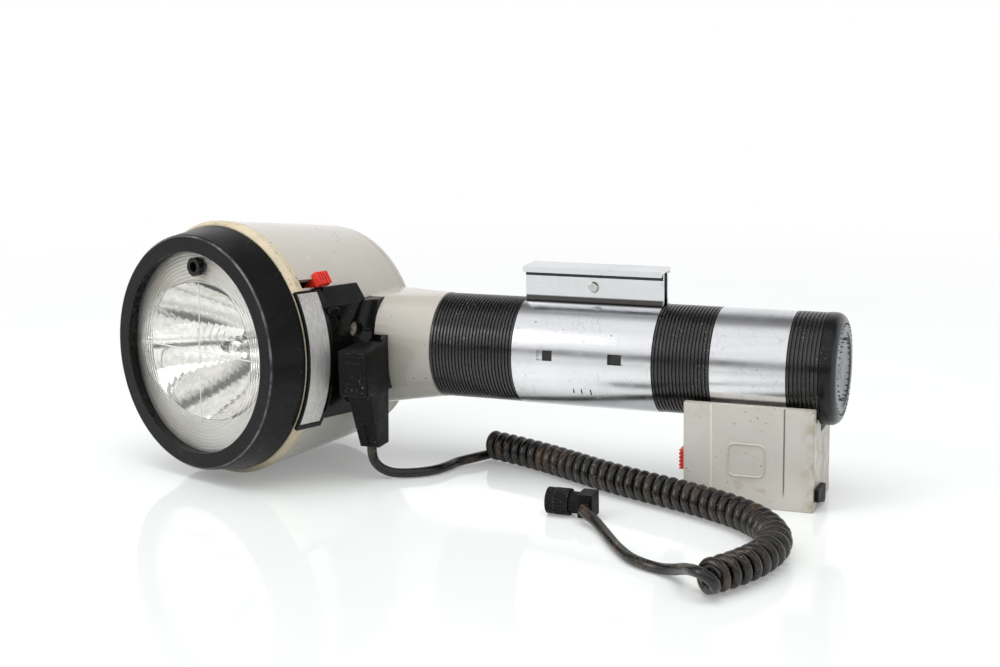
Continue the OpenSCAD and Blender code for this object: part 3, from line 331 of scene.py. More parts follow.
def moulded(name, colour, rough, wear_colour, wear=0.6, wear_radius=0.0006, cloud=0.06,
            cloud_scale=22.0, grain=2500.0, grain_depth=0.00001, speck_colour=(0.10, 0.07, 0.04),
            speck=0.5, speck_scale=900.0, coat=0.0, scratch=0.3, scratch_scale=50.0,
            rough_change=0.1, shine=0.5):
    """Moulded plastic or rubber with clouding, grain, specks, scratches and rubbed edges."""
    made = Surface(name)
    net, where = made.net, made.where
    mottle = made.effect("mottle", where, {"Cloud scale": cloud_scale, "Grain scale": grain})
    specks = made.effect("specks", where, {"Scale": speck_scale, "Amount": speck})[0]
    marks = made.effect("scratches", where, {"Scale": scratch_scale, "Amount": scratch})[0]
    edges = made.effect("edge_wear", where, {"Radius": wear_radius, "Amount": wear})
    dark = tuple(c * (1 - cloud * 2) for c in colour)
    light = tuple(min(1.0, c * (1 + cloud)) for c in colour)
    made.base = net.mix(mottle["Cloud"], dark, light)
    made.over(speck_colour, specks, 0.8)
    made.over(wear_colour, marks, 0.5)
    made.over(wear_colour, edges["Mask"])
    uneven = net.span(mottle["Cloud"], 0.0, 1.0, max(0.03, rough - rough_change), rough + rough_change)
    uneven = net.plus(uneven, net.times(net.math("MAXIMUM", marks, edges["Mask"]), 0.25))
    height = net.plus(mottle["Grain"], net.times(marks, -1.5))
    made.normal = net.bump(height, grain_depth, 1.0, edges["Normal"])
    made.set(Roughness=uneven, Coat_Weight=coat, Coat_Roughness=0.05, Specular_IOR_Level=shine)
    return made


def metal(name, colour, rough, frame_of=into_handle, stretch=(0.02, 1.0, 1.0), scale=1400.0,
          depth=0.000004, scratch=0.5, dirt=0.3, rough_change=0.08):
    """Drawn or brushed metal with fine lines, scratches, dull patches and dirt."""
    made = Surface(name)
    net, laid = made.net, frame_of(made)
    lines = made.effect("brushed", laid, {"Stretch": stretch, "Scale": scale})[0]
    marks = made.effect("scratches", laid, {"Scale": 45.0, "Amount": scratch})[0]
    cloud = made.effect("mottle", laid, {"Cloud scale": 60.0, "Grain scale": 3000.0})["Cloud"]
    specks = made.effect("specks", laid, {"Scale": 700.0, "Amount": dirt})[0]
    made.base = net.mix(net.span(lines, 0.3, 0.7), tuple(c * 0.93 for c in colour), colour)
    made.over(tuple(c * 0.6 for c in colour), cloud, 0.12)
    made.over((0.08, 0.07, 0.06), specks, 0.7)
    made.over((0.25, 0.25, 0.26), marks, 0.5)
    uneven = net.span(cloud, 0.0, 1.0, rough - rough_change * 0.5, rough + rough_change)
    made.normal = net.bump(net.minus(lines, net.times(marks, 2.0)), depth)
    made.set(Roughness=net.plus(uneven, net.times(lines, rough_change)), Metallic=1.0)
    made.laid = laid
    return made


def clear_part(name, tint, rough, depth=0.00002, scale=250.0):
    """Clear moulded plastic or glass with faint ripples and a little haze."""
    made = Surface(name)
    net = made.net
    ripple = net.noise(made.where, scale, 3.0, 0.5)
    made.haze = net.patches(made.where, 90.0, 5.0, 0.7, 0.5, 0.8, rough, rough + 0.08)
    made.base = net.mix(net.span(ripple, 0.4, 0.7), tint, tuple(c * 0.97 for c in tint))
    made.normal = net.bump(ripple, depth)
    made.set(Roughness=made.haze, Transmission_Weight=1.0, IOR=1.46)
    return made


# Mesh building

def add_object(name, data):
    """A new object in the scene, at the origin."""
    thing = bpy.data.objects.new(name, data)
    bpy.context.scene.collection.objects.link(thing)
    return thing


def from_mesh(name, points, faces, frame_matrix, material, smooth=True):
    """A piece whose points are given in millimetres in one of the flash's frames."""
    mesh = bpy.data.meshes.new(name)
    mesh.from_pydata([frame_matrix @ (Vector(p) * MM) for p in points], [], faces)
    mesh.validate()
    if smooth:
        mesh.shade_smooth()
    mesh.materials.append(material)
    return add_object(name, mesh)


def outward(piece):
    """Turns every face of a closed mesh outwards."""
    work = bmesh.new()
    work.from_mesh(piece.data)
    bmesh.ops.recalc_face_normals(work, faces=work.faces)
    work.to_mesh(piece.data)
    work.free()
    return piece


def add_piece(name, shape, frame_matrix, key, look, body="flash", smooth=True):
    """A closed piece with its finish, riding on a body."""
    piece = outward(from_mesh(name, *shape, frame_matrix, finish(key, look), smooth))
    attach(piece, body)
    return piece


def circle(radius, angles):
    return [(radius * math.cos(t), radius * math.sin(t)) for t in angles]


def box(xs, ys, zs):
    """Points and faces of a plain block between two values on each axis."""
    points = [(x, y, z) for x in xs for y in ys for z in zs]
    return points, [(0, 1, 3, 2), (4, 6, 7, 5), (0, 4, 5, 1), (2, 3, 7, 6), (0, 2, 6, 4), (1, 5, 7, 3)]


def lathe(profile, sides):
    """A closed profile of (radius, height) turned round Z; a radius of zero makes a pole."""
    points, faces, rows = [], [], []
    angles = [2 * math.pi * k / sides for k in range(sides)]
    for radius, height in profile:
        pole = radius < 1e-6
        rows.append([len(points)] * sides if pole else list(range(len(points), len(points) + sides)))
        points += [(0.0, 0.0, height)] if pole else [(*p, height) for p in circle(radius, angles)]
    closed = profile[0][0] > 1e-6 or profile[-1][0] > 1e-6
    pairs = list(zip(rows, rows[1:])) + ([(rows[-1], rows[0])] if closed else [])
    for low, high in pairs:
        for k in range(sides):
            m = (k + 1) % sides
            face = list(dict.fromkeys((low[k], low[m], high[m], high[k])))
            if len(face) > 2:
                faces.append(face)
    return points, faces


def swept(path, radius, sides, closed=False, flat=1.0, up=(0, 0, 1)):
    """A tube along points; flat squeezes it in the up direction."""
    path = [np.array(p, float) for p in path]
    n = len(path)
    points, faces = [], []
    side = None
    for i, p in enumerate(path):
        before, after = (i - 1) % n if closed else max(0, i - 1), (i + 1) % n if closed else min(n - 1, i + 1)
        along = unit(path[after] - path[before])
        if side is None:
            side = np.cross(along, np.array(up, float))
            side = side if np.linalg.norm(side) > 1e-6 else np.cross(along, (1.0, 0.0, 0.0))
        side = unit(side - along * (side @ along))
        other = np.cross(along, side)
        for k in range(sides):
            t = 2 * math.pi * k / sides
            points.append(tuple(p + radius * (math.cos(t) * side + flat * math.sin(t) * other)))
    for i in range(n if closed else n - 1):
        q = (i + 1) % n
        for k in range(sides):
            m = (k + 1) % sides
            faces.append([i * sides + k, i * sides + m, q * sides + m, q * sides + k])
    if not closed:
        faces.append(list(range(sides))[::-1])
        faces.append([(n - 1) * sides + k for k in range(sides)])
    return points, faces


def rounded_loop(width, height, radius, steps):
    """Points round a rounded rectangle that is centred on the origin."""
    loop = []
    for cx, cy, start in ((1, 1, 0), (-1, 1, 90), (-1, -1, 180), (1, -1, 270)):
        corner = circle(radius, [math.radians(start + 90 * s / steps) for s in range(steps + 1)])
        loop += [(cx * (width / 2 - radius) + x, cy * (height / 2 - radius) + y) for x, y in corner]
    return loop


def repeat_along(name, path, item, frame_matrix, material, body, count,
                 end_scale=1.0, closed=False, upright=None):
    """Geometry Nodes that set copies of a small mesh along a path, as one plain mesh piece."""
    tree = bpy.data.node_groups.new(name + "_tree", "GeometryNodeTree")
    sockets = {key: tree.interface.new_socket(key, in_out=way, socket_type="NodeSocket" + kind)
               for key, way, kind in (("Path", "INPUT", "Geometry"), ("Count", "INPUT", "Int"),
                                      ("End scale", "INPUT", "Float"), ("Geometry", "OUTPUT", "Geometry"))}
    net = Net(tree)
    given = net.add("NodeGroupInput").outputs
    curve = net.add("GeometryNodeMeshToCurve", {"Mesh": given["Path"]}).outputs[0]
    even = net.add("GeometryNodeResampleCurve", {"Curve": curve, "Count": given["Count"]}).outputs[0]
    tangent = net.add("GeometryNodeInputTangent").outputs[0]
    turn = net.add("FunctionNodeAlignRotationToVector", {"Vector": tangent}, axis="X").outputs[0]
    if upright is not None:
        turn = net.add("FunctionNodeAlignRotationToVector", {"Rotation": turn, "Vector": upright},
                       axis="Z", pivot_axis="X").outputs[0]
    along = net.add("GeometryNodeSplineParameter").outputs["Factor"]
    size = net.span(along, 0.0, 1.0, 1.0, given["End scale"])
    shape = net.add("GeometryNodeObjectInfo", {"Object": item}).outputs["Geometry"]
    copies = net.add("GeometryNodeInstanceOnPoints", {
        "Points": even, "Instance": shape, "Rotation": turn, "Scale": size}).outputs[0]
    real = net.add("GeometryNodeRealizeInstances", {"Geometry": copies}).outputs[0]
    painted = net.add("GeometryNodeSetMaterial", {"Geometry": real, "Material": material}).outputs[0]
    net.add("NodeGroupOutput", {"Geometry": painted})
    mesh = bpy.data.meshes.new(name + "_path")
    n = len(path)
    mesh.from_pydata([frame_matrix @ (Vector(p) * MM) for p in path],
                     [(i, (i + 1) % n) for i in range(n if closed else n - 1)], [])
    carrier = add_object(name + "_path", mesh)
    modifier = carrier.modifiers.new("Repeat", "NODES")
    modifier.node_group = tree
    modifier[sockets["Count"].identifier] = count
    modifier[sockets["End scale"].identifier] = end_scale
    graph = bpy.context.evaluated_depsgraph_get()
    made = bpy.data.meshes.new_from_object(carrier.evaluated_get(graph))
    carrier.modifiers.remove(modifier)
    bpy.data.objects.remove(carrier)
    bpy.data.objects.remove(item)
    piece = add_object(name, made)
    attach(piece, body)
    return piece


def drum_plastic(look):
    """Warm grey moulded plastic, glossy, with brown specks and rubbed edges."""
    return moulded(
        "drum_plastic", look.drum_colour, 0.20, (0.60, 0.57, 0.49), wear=0.3, cloud=0.05, cloud_scale=14.0,
        speck=0.55, speck_scale=650.0, coat=0.6, scratch=0.25, rough_change=0.05, grain_depth=0.000004)


def rim_plastic(look):
    """Ivory plastic gone yellow, with brown dirt in streaks."""
    made = moulded(
        "rim_plastic", look.rim_colour, 0.38, (0.80, 0.72, 0.54), wear=0.4, cloud=0.10, cloud_scale=60.0,
        speck=0.9, speck_scale=500.0, speck_colour=(0.16, 0.11, 0.06), scratch=0.2)
    grime = made.net.patches(into_head(made), 130.0, 6.0, 0.7, 0.56, 0.72)
    return made.over((0.33, 0.25, 0.14), grime, 0.55)


def bezel_plastic(look):
    """Satin black paint, rubbed grey at the edges and scuffed low on the front."""
    made = moulded(
        "bezel_plastic", look.black_colour, 0.30, (0.10, 0.10, 0.105), wear=0.8, wear_radius=0.0005,
        cloud=0.2, cloud_scale=40.0, speck=0.55, speck_scale=1100.0, speck_colour=(0.05, 0.045, 0.04),
        scratch=0.4, scratch_scale=70.0, shine=0.18)
    net, laid = made.net, into_head(made)
    y, z = net.split(laid)[1:]
    slanted = net.mapped(laid, rotation=(0, 0, 0.6), scale=(1, 0.35, 1))
    scuffs = net.patches(slanted, 190.0, 6.0, 0.75, 0.6, 0.75)
    made.over((0.09, 0.09, 0.095), scuffs, net.below(y, -0.048, -0.02), 0.7)
    line = net.near(made.effect("radius", laid)[0], BEZEL_EDGE, 0.00015, 0.0005)
    broken = net.patches(laid, 120.0, 5.0, 0.7, 0.38, 0.6, 0.15, 1.0)
    return made.over((0.20, 0.20, 0.21), line, net.span(z, *BEZEL_FRONT), broken, 0.8)


def panel_plastic(look):
    """Deep glossy black plastic with fingerprints and dust."""
    return moulded(
        "panel_plastic", look.black_colour, 0.12, (0.06, 0.06, 0.065), wear=0.4, cloud=0.2, cloud_scale=90.0,
        speck=0.5, speck_scale=1500.0, speck_colour=(0.10, 0.095, 0.085), rough_change=0.05,
        grain_depth=0.000003, shine=0.25)


def ribbed_rubber(look):
    """Black rubber whose ribs catch dust and skin, their rubbed grey edges partly wear and partly painted
    highlight, with lint in the grooves.
    """
    # The grey on the rib edges is partly wear and partly a painted highlight
    made = moulded(
        "ribbed_rubber", look.rubber_colour, 0.22, (0.09, 0.085, 0.08), wear=0.5, wear_radius=0.0003,
        cloud=0.25, cloud_scale=60.0, speck=0.75, speck_scale=1300.0, speck_colour=(0.20, 0.18, 0.15),
        scratch=0.2, scratch_scale=90.0, grain_depth=0.000008, shine=0.8)
    net, laid = made.net, into_handle(made)
    upended = net.mapped(laid, rotation=(0, math.radians(-90), 0))
    low = net.below(made.effect("radius", upended)[0], *GROOVE_TOP)
    return made.over((0.035, 0.030, 0.024), low, net.patches(laid, 140.0, 5.0, 0.7, 0.5, 0.68), 0.5)


def plug_rubber(look):
    """Dull moulded black rubber, scuffed, with pale specks."""
    return moulded(
        "plug_rubber", (0.006, 0.006, 0.0065), 0.50, (0.10, 0.10, 0.105), wear=1.0, wear_radius=0.0005,
        cloud=0.25, cloud_scale=120.0, speck=0.85, speck_scale=1300.0, speck_colour=(0.16, 0.13, 0.09),
        scratch=0.8, scratch_scale=120.0, grain_depth=0.00004, grain=1800.0, shine=0.12)


def cap_rubber(look):
    """Blue-black rubber of the end cap, polished by handling, with its end face painted lighter blue-grey as a
    painted sheen.
    """
    made = moulded(
        "cap_rubber", (0.005, 0.005, 0.006), 0.24, (0.07, 0.075, 0.08), wear=0.4, cloud=0.2, cloud_scale=70.0,
        speck=0.7, speck_scale=1100.0, speck_colour=(0.10, 0.09, 0.08), scratch=0.4, scratch_scale=60.0,
        shine=0.3)
    # Painted sheen: the end face is lighter blue-grey
    x = made.net.split(into_handle(made))[0]
    return made.over((0.035, 0.041, 0.048), made.net.span(x, *CAP_FACE), 0.8)


def cord_rubber(look):
    """Brown-black cord sheath: shiny crowns, brown worn patches and pale scuffs round it."""
    made = moulded(
        "cord_rubber", look.cord_colour, 0.26, (0.10, 0.08, 0.065), wear=0.0, cloud=0.3, cloud_scale=70.0,
        speck=0.95, speck_scale=900.0, speck_colour=(0.16, 0.12, 0.085), scratch=0.5, scratch_scale=160.0,
        grain_depth=0.000018, grain=1500.0)
    net = made.net
    made.over((0.075, 0.043, 0.024), net.patches(made.where, 110.0, 6.0, 0.75, 0.50, 0.64), 0.7)
    along = net.add("ShaderNodeUVMap", uv_map="along").outputs[0]
    scuffs = net.patches(net.mapped(along, scale=(900.0, 6.0, 1.0)), 1.0, 3.0, 0.6, 0.6, 0.72)
    return made.over((0.09, 0.07, 0.06), scuffs, 0.25)


def red_plastic(look):
    """Bright red plastic with dirt in its grooves."""
    made = moulded(
        "red_plastic", look.red_colour, 0.35, (0.90, 0.25, 0.18), wear=0.5, wear_radius=0.0003, cloud=0.12,
        cloud_scale=300.0, speck=1.0, speck_scale=1800.0, speck_colour=(0.10, 0.01, 0.01))
    return made.over((0.22, 0.01, 0.012), made.net.patches(made.where, 700.0, 4.0, 0.7, 0.5, 0.7), 0.35)


def pack_plastic(look):
    """Pale warm grey plastic of the battery pack: one seam painted pale as a highlight, one painted dark as a
    shadow line, yellow-brown stains and worn edges.
    """
    made = moulded(
        "pack_plastic", look.pack_colour, 0.42, (0.36, 0.26, 0.14), wear=0.75, wear_radius=0.0007, cloud=0.04,
        cloud_scale=30.0, speck=0.95, speck_scale=600.0, speck_colour=(0.25, 0.17, 0.08), scratch=0.35,
        scratch_scale=40.0, grain_depth=0.000012, coat=0.15)
    net = made.net
    laid = net.mapped(made.where, location=-TABLE_FRAME.to_translation())
    x, y, z = net.split(laid)
    front = net.below(y, *PACK_FRONT)
    # The left seam's lit step edge is a painted highlight, and the right seam's gap is a painted shadow line
    light = net.times(front, net.near(x, HIGHLIGHT_SEAM, 0.0003, 0.0005))
    dark = net.times(front, net.near(x, SHADOW_SEAM, 0.00018, 0.00034), net.span(z, 0.005, 0.008))
    stain = net.patches(net.mapped(laid, scale=(1, 1, 1.7)), 70.0, 4.0, 0.6, 0.60, 0.74)
    made.over((0.36, 0.25, 0.10), stain, net.below(z, 0.004, 0.022, 0.25), 0.75)
    worn = net.patches(laid, 160.0, 5.0, 0.7, 0.42, 0.62)
    made.over((0.30, 0.20, 0.09), net.span(x, *PACK_RIGHT), worn, 0.6)
    # Painted highlight on the left seam and painted shadow in the right one
    made.over((0.86, 0.83, 0.76), light, 0.7).over((0.10, 0.095, 0.085), dark, 0.85)
    made.normal = net.bump(net.minus(net.times(light, 0.5), dark), 0.0003, 1.0, made.normal)
    return made


def bright_metal(look):
    """Bright drawn metal: fine lines along it, scratches round it, painted shade at the flanges' roots."""
    made = metal("bright_metal", look.metal_colour, 0.17, scratch=0.6, dirt=0.35)
    net, laid = made.net, made.laid
    rings = net.mapped(laid, rotation=(0.0, 0.0, 0.12), scale=(1.0, 0.02, 0.02))
    marks = net.near(net.noise(rings, 900.0, 2.0, 0.5), 0.5, 0.0, 0.006)
    made.over((0.22, 0.22, 0.23), marks, net.patches(laid, 55.0, 2.0, 0.55, 0.58, 0.64), 0.6)
    # Painted shade: the band is dark just under the rail's flanges
    x, y, z = net.split(laid)
    across = net.below(net.math("ABSOLUTE", y), *ROOT_SHADE_HALF)
    height = net.times(net.below(z, *ROOT_SHADE_TOP), net.span(z, *ROOT_SHADE_FOOT))
    return made.over((0.035, 0.030, 0.025), across, height, net.below(x, *ROOT_SHADE_END), 0.93)


def label_metal(look):
    """Brushed silver label metal, left without lettering, with small rubbed spots."""
    made = metal("label_metal", (0.84, 0.83, 0.80), 0.40, into_head, stretch=(1.0, 0.05, 1.0), scale=1500.0,
                 depth=0.00002, dirt=0.55, rough_change=0.12)
    drawn = made.net.mapped(made.laid, scale=(1.0, 0.12, 1.0))
    return made.over((0.52, 0.51, 0.49), made.net.patches(drawn, 1100.0, 4.0, 0.7, 0.45, 0.62, 0.0, 0.5))


def bowl_metal(look):
    """Mirror-bright bowl with upright flutes on one side and a satin brim."""
    made = Surface("bowl_metal")
    net, laid = made.net, into_head(made)
    x, y = net.split(laid)[:2]
    away = oval_radius(net, x, y)
    flutes = net.math("ABSOLUTE", net.math("SINE", net.times(x, FLUTES)))
    flutes = net.times(flutes, net.span(x, *FLUTES_LEFT), net.below(net.math("ABSOLUTE", y), *FLUTES_HALF),
                       net.below(away, *FLUTES_OUTER))
    waves = net.noise(laid, 45.0, 2.0, 0.5)
    haze = net.noise(laid, 300.0, 4.0, 0.6)
    brim = net.span(away, *BOWL_BRIM)
    made.base = net.mix(net.span(haze, 0.45, 0.75), (0.94, 0.93, 0.91), (0.80, 0.79, 0.77))
    made.normal = net.bump(net.plus(flutes, net.times(waves, 0.2)), 0.0004, net.span(brim, 0.0, 1.0, 0.8, 0.05))
    made.set(Roughness=net.plus(net.span(haze, 0.3, 0.8, 0.03, 0.12), net.times(brim, 0.28)),
             Metallic=net.below(brim, 0.0, 1.0, 0.25))
    return made.over((0.95, 0.94, 0.92), brim)


def lens_plastic(look):
    """Clear lens plastic, frosted white over its rings, with beige lines painted in the ring grooves as shade,
    stronger towards one side.
    """
    made = clear_part("lens_plastic", (0.98, 0.985, 0.97), 0.01)
    net, laid = made.net, into_head(made)
    x, y = net.split(laid)[:2]
    inner, outer = LENS_INNER_MM * MM, LENS_OUTER_MM * MM
    ringed = net.span(oval_radius(net, x, y), inner - 0.0009, inner - 0.0004)
    rings = net.times(net.minus(made.effect("radius", laid)[0], inner), look.lens_ridges / (outer - inner))
    # Beige lines in the ring grooves are painted shade, strongest on one side of the lens
    ring_shade = net.span(net.math("ABSOLUTE", net.minus(net.math("FRACT", rings), 0.5)), 0.30, 0.42)
    lit = net.below(net.plus(x, net.times(y, -0.35)), -0.015, 0.03, 0.12)
    patchy = net.patches(laid, 55.0, 3.0, 0.55, 0.35, 0.6, 0.5, 1.0)
    made.set(Roughness=net.plus(made.haze, net.times(ringed, 0.30)))
    return made.over((0.50, 0.44, 0.35), ring_shade, ringed, lit, patchy)


def sensor_cell(look):
    """Dark red-brown face of the light cell with a fine track pattern."""
    made = moulded("sensor_cell", (0.10, 0.045, 0.03), 0.25, (0.3, 0.2, 0.15), wear=0.2)
    x = made.net.split(into_head(made))[0]
    tracks = made.net.span(made.net.math("SINE", made.net.times(x, CELL_TRACKS)), 0.2, 0.5)
    return made.over((0.45, 0.36, 0.2), tracks, 0.6)


def board_green(look):
    """Green circuit board with paler tracks under its lacquer."""
    made = moulded("board_green", (0.03, 0.12, 0.05), 0.30, (0.3, 0.32, 0.2), wear=0.4, cloud=0.1,
                   cloud_scale=150.0, coat=0.4)
    cells = made.net.add("ShaderNodeTexVoronoi", {"Vector": into_head(made), "Scale": 220.0},
                         feature="DISTANCE_TO_EDGE", distance="EUCLIDEAN")
    return made.over((0.10, 0.26, 0.12), made.net.below(cells.outputs["Distance"], 0.08, 0.14), 0.5)


def printed_sleeve(name, colour, stripe_colour, stripe_at, stripe_half):
    """Shrunk plastic sleeve with one plain coloured stripe and fine wrinkles."""
    made = moulded(name, colour, 0.25, tuple(min(1, c + 0.2) for c in colour), wear=0.4, cloud=0.1,
                   cloud_scale=80.0, coat=0.3, grain_depth=0.00002, grain=700.0)
    x = made.net.split(into_handle(made))[0]
    return made.over(stripe_colour, made.net.near(x, stripe_at, stripe_half, stripe_half + 0.0003))


def plain(kind, *values, **more):
    """A finish that is one kind of surface with its own values, whatever the look."""
    return lambda look: kind(*values, **more)


FINISHES = {
    "grey_plastic": drum_plastic, "rim_plastic": rim_plastic, "bezel_black": bezel_plastic,
    "black_plastic": panel_plastic, "lens": lens_plastic, "bowl": bowl_metal, "board": board_green,
    "sensor_cell": sensor_cell, "label_metal": label_metal, "bright_metal": bright_metal,
    "rubber": ribbed_rubber, "red_plastic": red_plastic, "pack_plastic": pack_plastic,
    "cord": cord_rubber, "plug_rubber": plug_rubber, "cap": cap_rubber,
    "tube_glass": plain(clear_part, "tube_glass", (0.96, 0.97, 0.98), 0.02, 0.00001, 500.0),
    "lamp": plain(clear_part, "ready_lamp_plastic", (0.95, 0.42, 0.06), 0.12, 0.00004, 600.0),
    "steel": plain(metal, "steel", (0.62, 0.61, 0.58), 0.28, into_head, (1.0, 1.0, 1.0), 900.0, dirt=0.7),
    "gold": plain(metal, "gold", (0.83, 0.62, 0.28), 0.22, stretch=(1.0, 1.0, 1.0), dirt=0.6),
    "copper": plain(metal, "copper", (0.72, 0.36, 0.18), 0.30, into_head, (1.0, 0.05, 1.0), 2600.0, dirt=0.4),
    "ceramic": plain(moulded, "ceramic", (0.74, 0.72, 0.66), 0.45, (0.85, 0.84, 0.80), wear=0.3,
                     cloud_scale=120.0),
    "cream": plain(moulded, "cream_plastic", (0.55, 0.50, 0.36), 0.40, (0.7, 0.66, 0.5), wear=0.3, cloud=0.1,
                   cloud_scale=200.0, speck=0.9, speck_scale=1800.0),
    "capacitor_sleeve": plain(printed_sleeve, "capacitor_sleeve", (0.03, 0.06, 0.22), (0.55, 0.55, 0.57),
                              0.024, 0.004),
    "cell_sleeve": plain(printed_sleeve, "cell_sleeve", (0.50, 0.28, 0.04), (0.03, 0.03, 0.03), 0.150, 0.005),
    # Black enamel, which also paints the shade in the band's slots and windows and under the rail's lip; the
    # dial's filled engraving; and the bright lines moulded across the lens
    "trim": plain(moulded, "dark_trim", (0.015, 0.015, 0.016), 0.35, (0.2, 0.2, 0.2), wear=0.3, cloud=0.2,
                  cloud_scale=200.0),
    "marks": plain(moulded, "white_marks", (0.72, 0.71, 0.67), 0.45, (0.5, 0.48, 0.42), wear=0.2, cloud=0.1,
                   cloud_scale=300.0),
    "line": plain(moulded, "clear_white", (0.86, 0.86, 0.84), 0.2, (0.9, 0.9, 0.88), wear=0.0, cloud=0.03,
                  cloud_scale=200.0),
}
finish_of = {}


def finish(key, look):
    """The material of that name, made the first time it is wanted."""
    if key not in finish_of:
        finish_of[key] = FINISHES[key](look).done()
    return finish_of[key]


# The cord's route, from the grip's start, the handle's axis and the table

CORD_MM = 4.2
CURL_MM = 13.0
# From one curl's middle to the next along the winding
CURL_PITCH_MM = CORD_MM + 0.6
LEAD_MM = [
    (-22.6, -34.6, 15.6), (-22.6, -34.6, 11.5), (-21.6, -34.2, 7.6), (-18.6, -33.2, 4.4), (-14, -31.4, 2.6),
    (-8, -28.6, 2.2), (-2.6, -25, 2.2), (1.2, -20, 2.2), (3.6, -13.6, 2.2), (5.2, -7, 2.2)]
CURL_AXIS_MM = [
    (15, 8, 7), (31, 2.4, 6.8), (47, -4.4, 6.6), (62, -12.4, 6.6), (78, -21, 6.6), (95, -28.8, 6.6),
    (112, -36, 6.6), (128, -43.6, 6.6), (142, -52, 6.6), (153, -62.4, 6.6), (160, -74.6, 6.6), (161.6, -86, 6.6),
    (159.6, -97, 6.6), (156, -106.6, 6.6), (151.4, -115, 6.6), (146.4, -122.6, 6.6)]
TAIL_MM = [
    (150.9, -127, 6.3), (149.4, -128, 8.6), (146.4, -127.8, 10), (143.2, -125.6, 9.9), (140, -121.6, 8.6),
    (136.4, -115.8, 6.2), (131.6, -110.6, 3.6), (126, -107.4, 2.2), (119.6, -104.8, 2.2), (113, -100.4, 2.2),
    (107, -93.4, 2.2), (101, -85, 2.2), (95, -76, 2.4), (89, -68.4, 3.4), (84.4, -64.8, 4.6), (81.8, -62.2, 5.4),
    (81.6, -58.92, 5.4)]
AXIS_SAMPLES = 280
BEND_REACH = 8
DEGREES_A_STEP = 15.0
FIRST_TURN = 270.0


def unit(v):
    return v / np.linalg.norm(v)


def smooth_at(route, u):
    """The point of a smooth curve through a route, at u from 0 to the last point's number."""
    i = min(int(math.floor(u)), len(route) - 2)
    t = u - i
    p0, p1, p2, p3 = (np.array(route[max(0, min(len(route) - 1, i + k))], float) for k in (-1, 0, 1, 2))
    squared, cubed = 2 * p0 - 5 * p1 + 4 * p2 - p3, 3 * p1 - p0 - 3 * p2 + p3
    return p1 + t * ((p2 - p0) / 2 + t * (squared / 2 + t * cubed / 2))


def smoothed(route):
    """A route with eight smooth steps between every two of its points."""
    return [smooth_at(route, u) for u in np.linspace(0, len(route) - 1, 8 * (len(route) - 1) + 1)]


def cord_route():
    """The middle of the whole cord, from the plug's tail to the tip, in millimetres."""
    wind_r = (CURL_MM - CORD_MM) / 2
    axis_u = np.linspace(0, len(CURL_AXIS_MM) - 1, AXIS_SAMPLES + 1)
    axis_p = np.array([smooth_at(CURL_AXIS_MM, u) for u in axis_u])
    step = np.linalg.norm(np.diff(axis_p, axis=0), axis=1)

    def bend(i):
        j = max(BEND_REACH, min(AXIS_SAMPLES - BEND_REACH, i))
        a, b = axis_p[j] - axis_p[j - BEND_REACH], axis_p[j + BEND_REACH] - axis_p[j]
        return np.linalg.norm(unit(b) - unit(a)) / ((np.linalg.norm(a) + np.linalg.norm(b)) / 2)

    # Degrees wound by each sample; the curls lie closest on the inside of a bend
    wound_by = [360 * step[i] * (1 - wind_r * bend(i)) / CURL_PITCH_MM for i in range(AXIS_SAMPLES)]
    turn = np.concatenate([[0], np.cumsum(wound_by)])
    all_degrees = int(turn[-1] // 360) * 360

    def axis_dir(u):
        return unit(smooth_at(CURL_AXIS_MM, u + 0.02) - smooth_at(CURL_AXIS_MM, u - 0.02))

    def wind_dir(u, degrees):
        t = axis_dir(u)
        n = unit(np.cross((0.0, 0.0, 1.0), t))
        a = math.radians(degrees)
        return math.cos(a) * n + math.sin(a) * np.cross(t, n)

    def at(degrees):
        return float(np.interp(degrees, turn, axis_u)), FIRST_TURN + degrees

    def tangent(degrees):
        u, phase = at(degrees)
        return unit(wind_dir(u, phase + 90) + CURL_PITCH_MM / (2 * math.pi * wind_r) * axis_dir(u))

    wound = []
    for degrees in np.arange(0.0, all_degrees + 0.1, DEGREES_A_STEP):
        u, phase = at(float(degrees))
        wound.append(smooth_at(CURL_AXIS_MM, u) + wind_r * wind_dir(u, phase))
    start = wound[0] - tangent(0.0) * CORD_MM * 1.1
    end = wound[-1] + tangent(all_degrees + 1.5 * DEGREES_A_STEP) * CORD_MM * 1.1
    lead = [*LEAD_MM, start - tangent(0.0) * CORD_MM, start]
    return smoothed(lead) + wound + smoothed([end, *TAIL_MM])


# Sizes and colours a user may change

def colour_property(name, what, default):
    return bpy.props.FloatVectorProperty(
        name=name, description=f"Colour of {what}", subtype="COLOR", size=3, min=0, max=1, default=default)


class FlashLook(bpy.types.PropertyGroup):
    """Colours and sizes of the flash's finish."""
    drum_colour: colour_property("Drum", "the drum and neck", (0.42, 0.40, 0.355))
    rim_colour: colour_property("Rim", "the ivory rim", (0.52, 0.45, 0.32))
    black_colour: colour_property("Black", "the black plastic", (0.005, 0.005, 0.0055))
    rubber_colour: colour_property("Grips", "the ribbed grips", (0.004, 0.004, 0.004))
    metal_colour: colour_property("Metal", "the bright metal", (0.80, 0.81, 0.83))
    pack_colour: colour_property("Pack", "the battery pack", (0.60, 0.575, 0.53))
    red_colour: colour_property("Red", "the switch and the release", (0.78, 0.035, 0.02))
    cord_colour: colour_property("Cord", "the curly cord", (0.008, 0.007, 0.006))
    lens_ridges: bpy.props.IntProperty(
        name="Lens ridges", description="Number of rings moulded in the lens", default=7, min=4, max=14)
    ridge_height: bpy.props.FloatProperty(
        name="Ridge height", description="Height of the rings in the lens", subtype="DISTANCE",
        unit="LENGTH", default=0.00028, min=0.0002, max=0.0006)
    scale_marks: bpy.props.IntProperty(
        name="Scale marks", description="Number of marks round the dial", default=60, min=12, max=120)


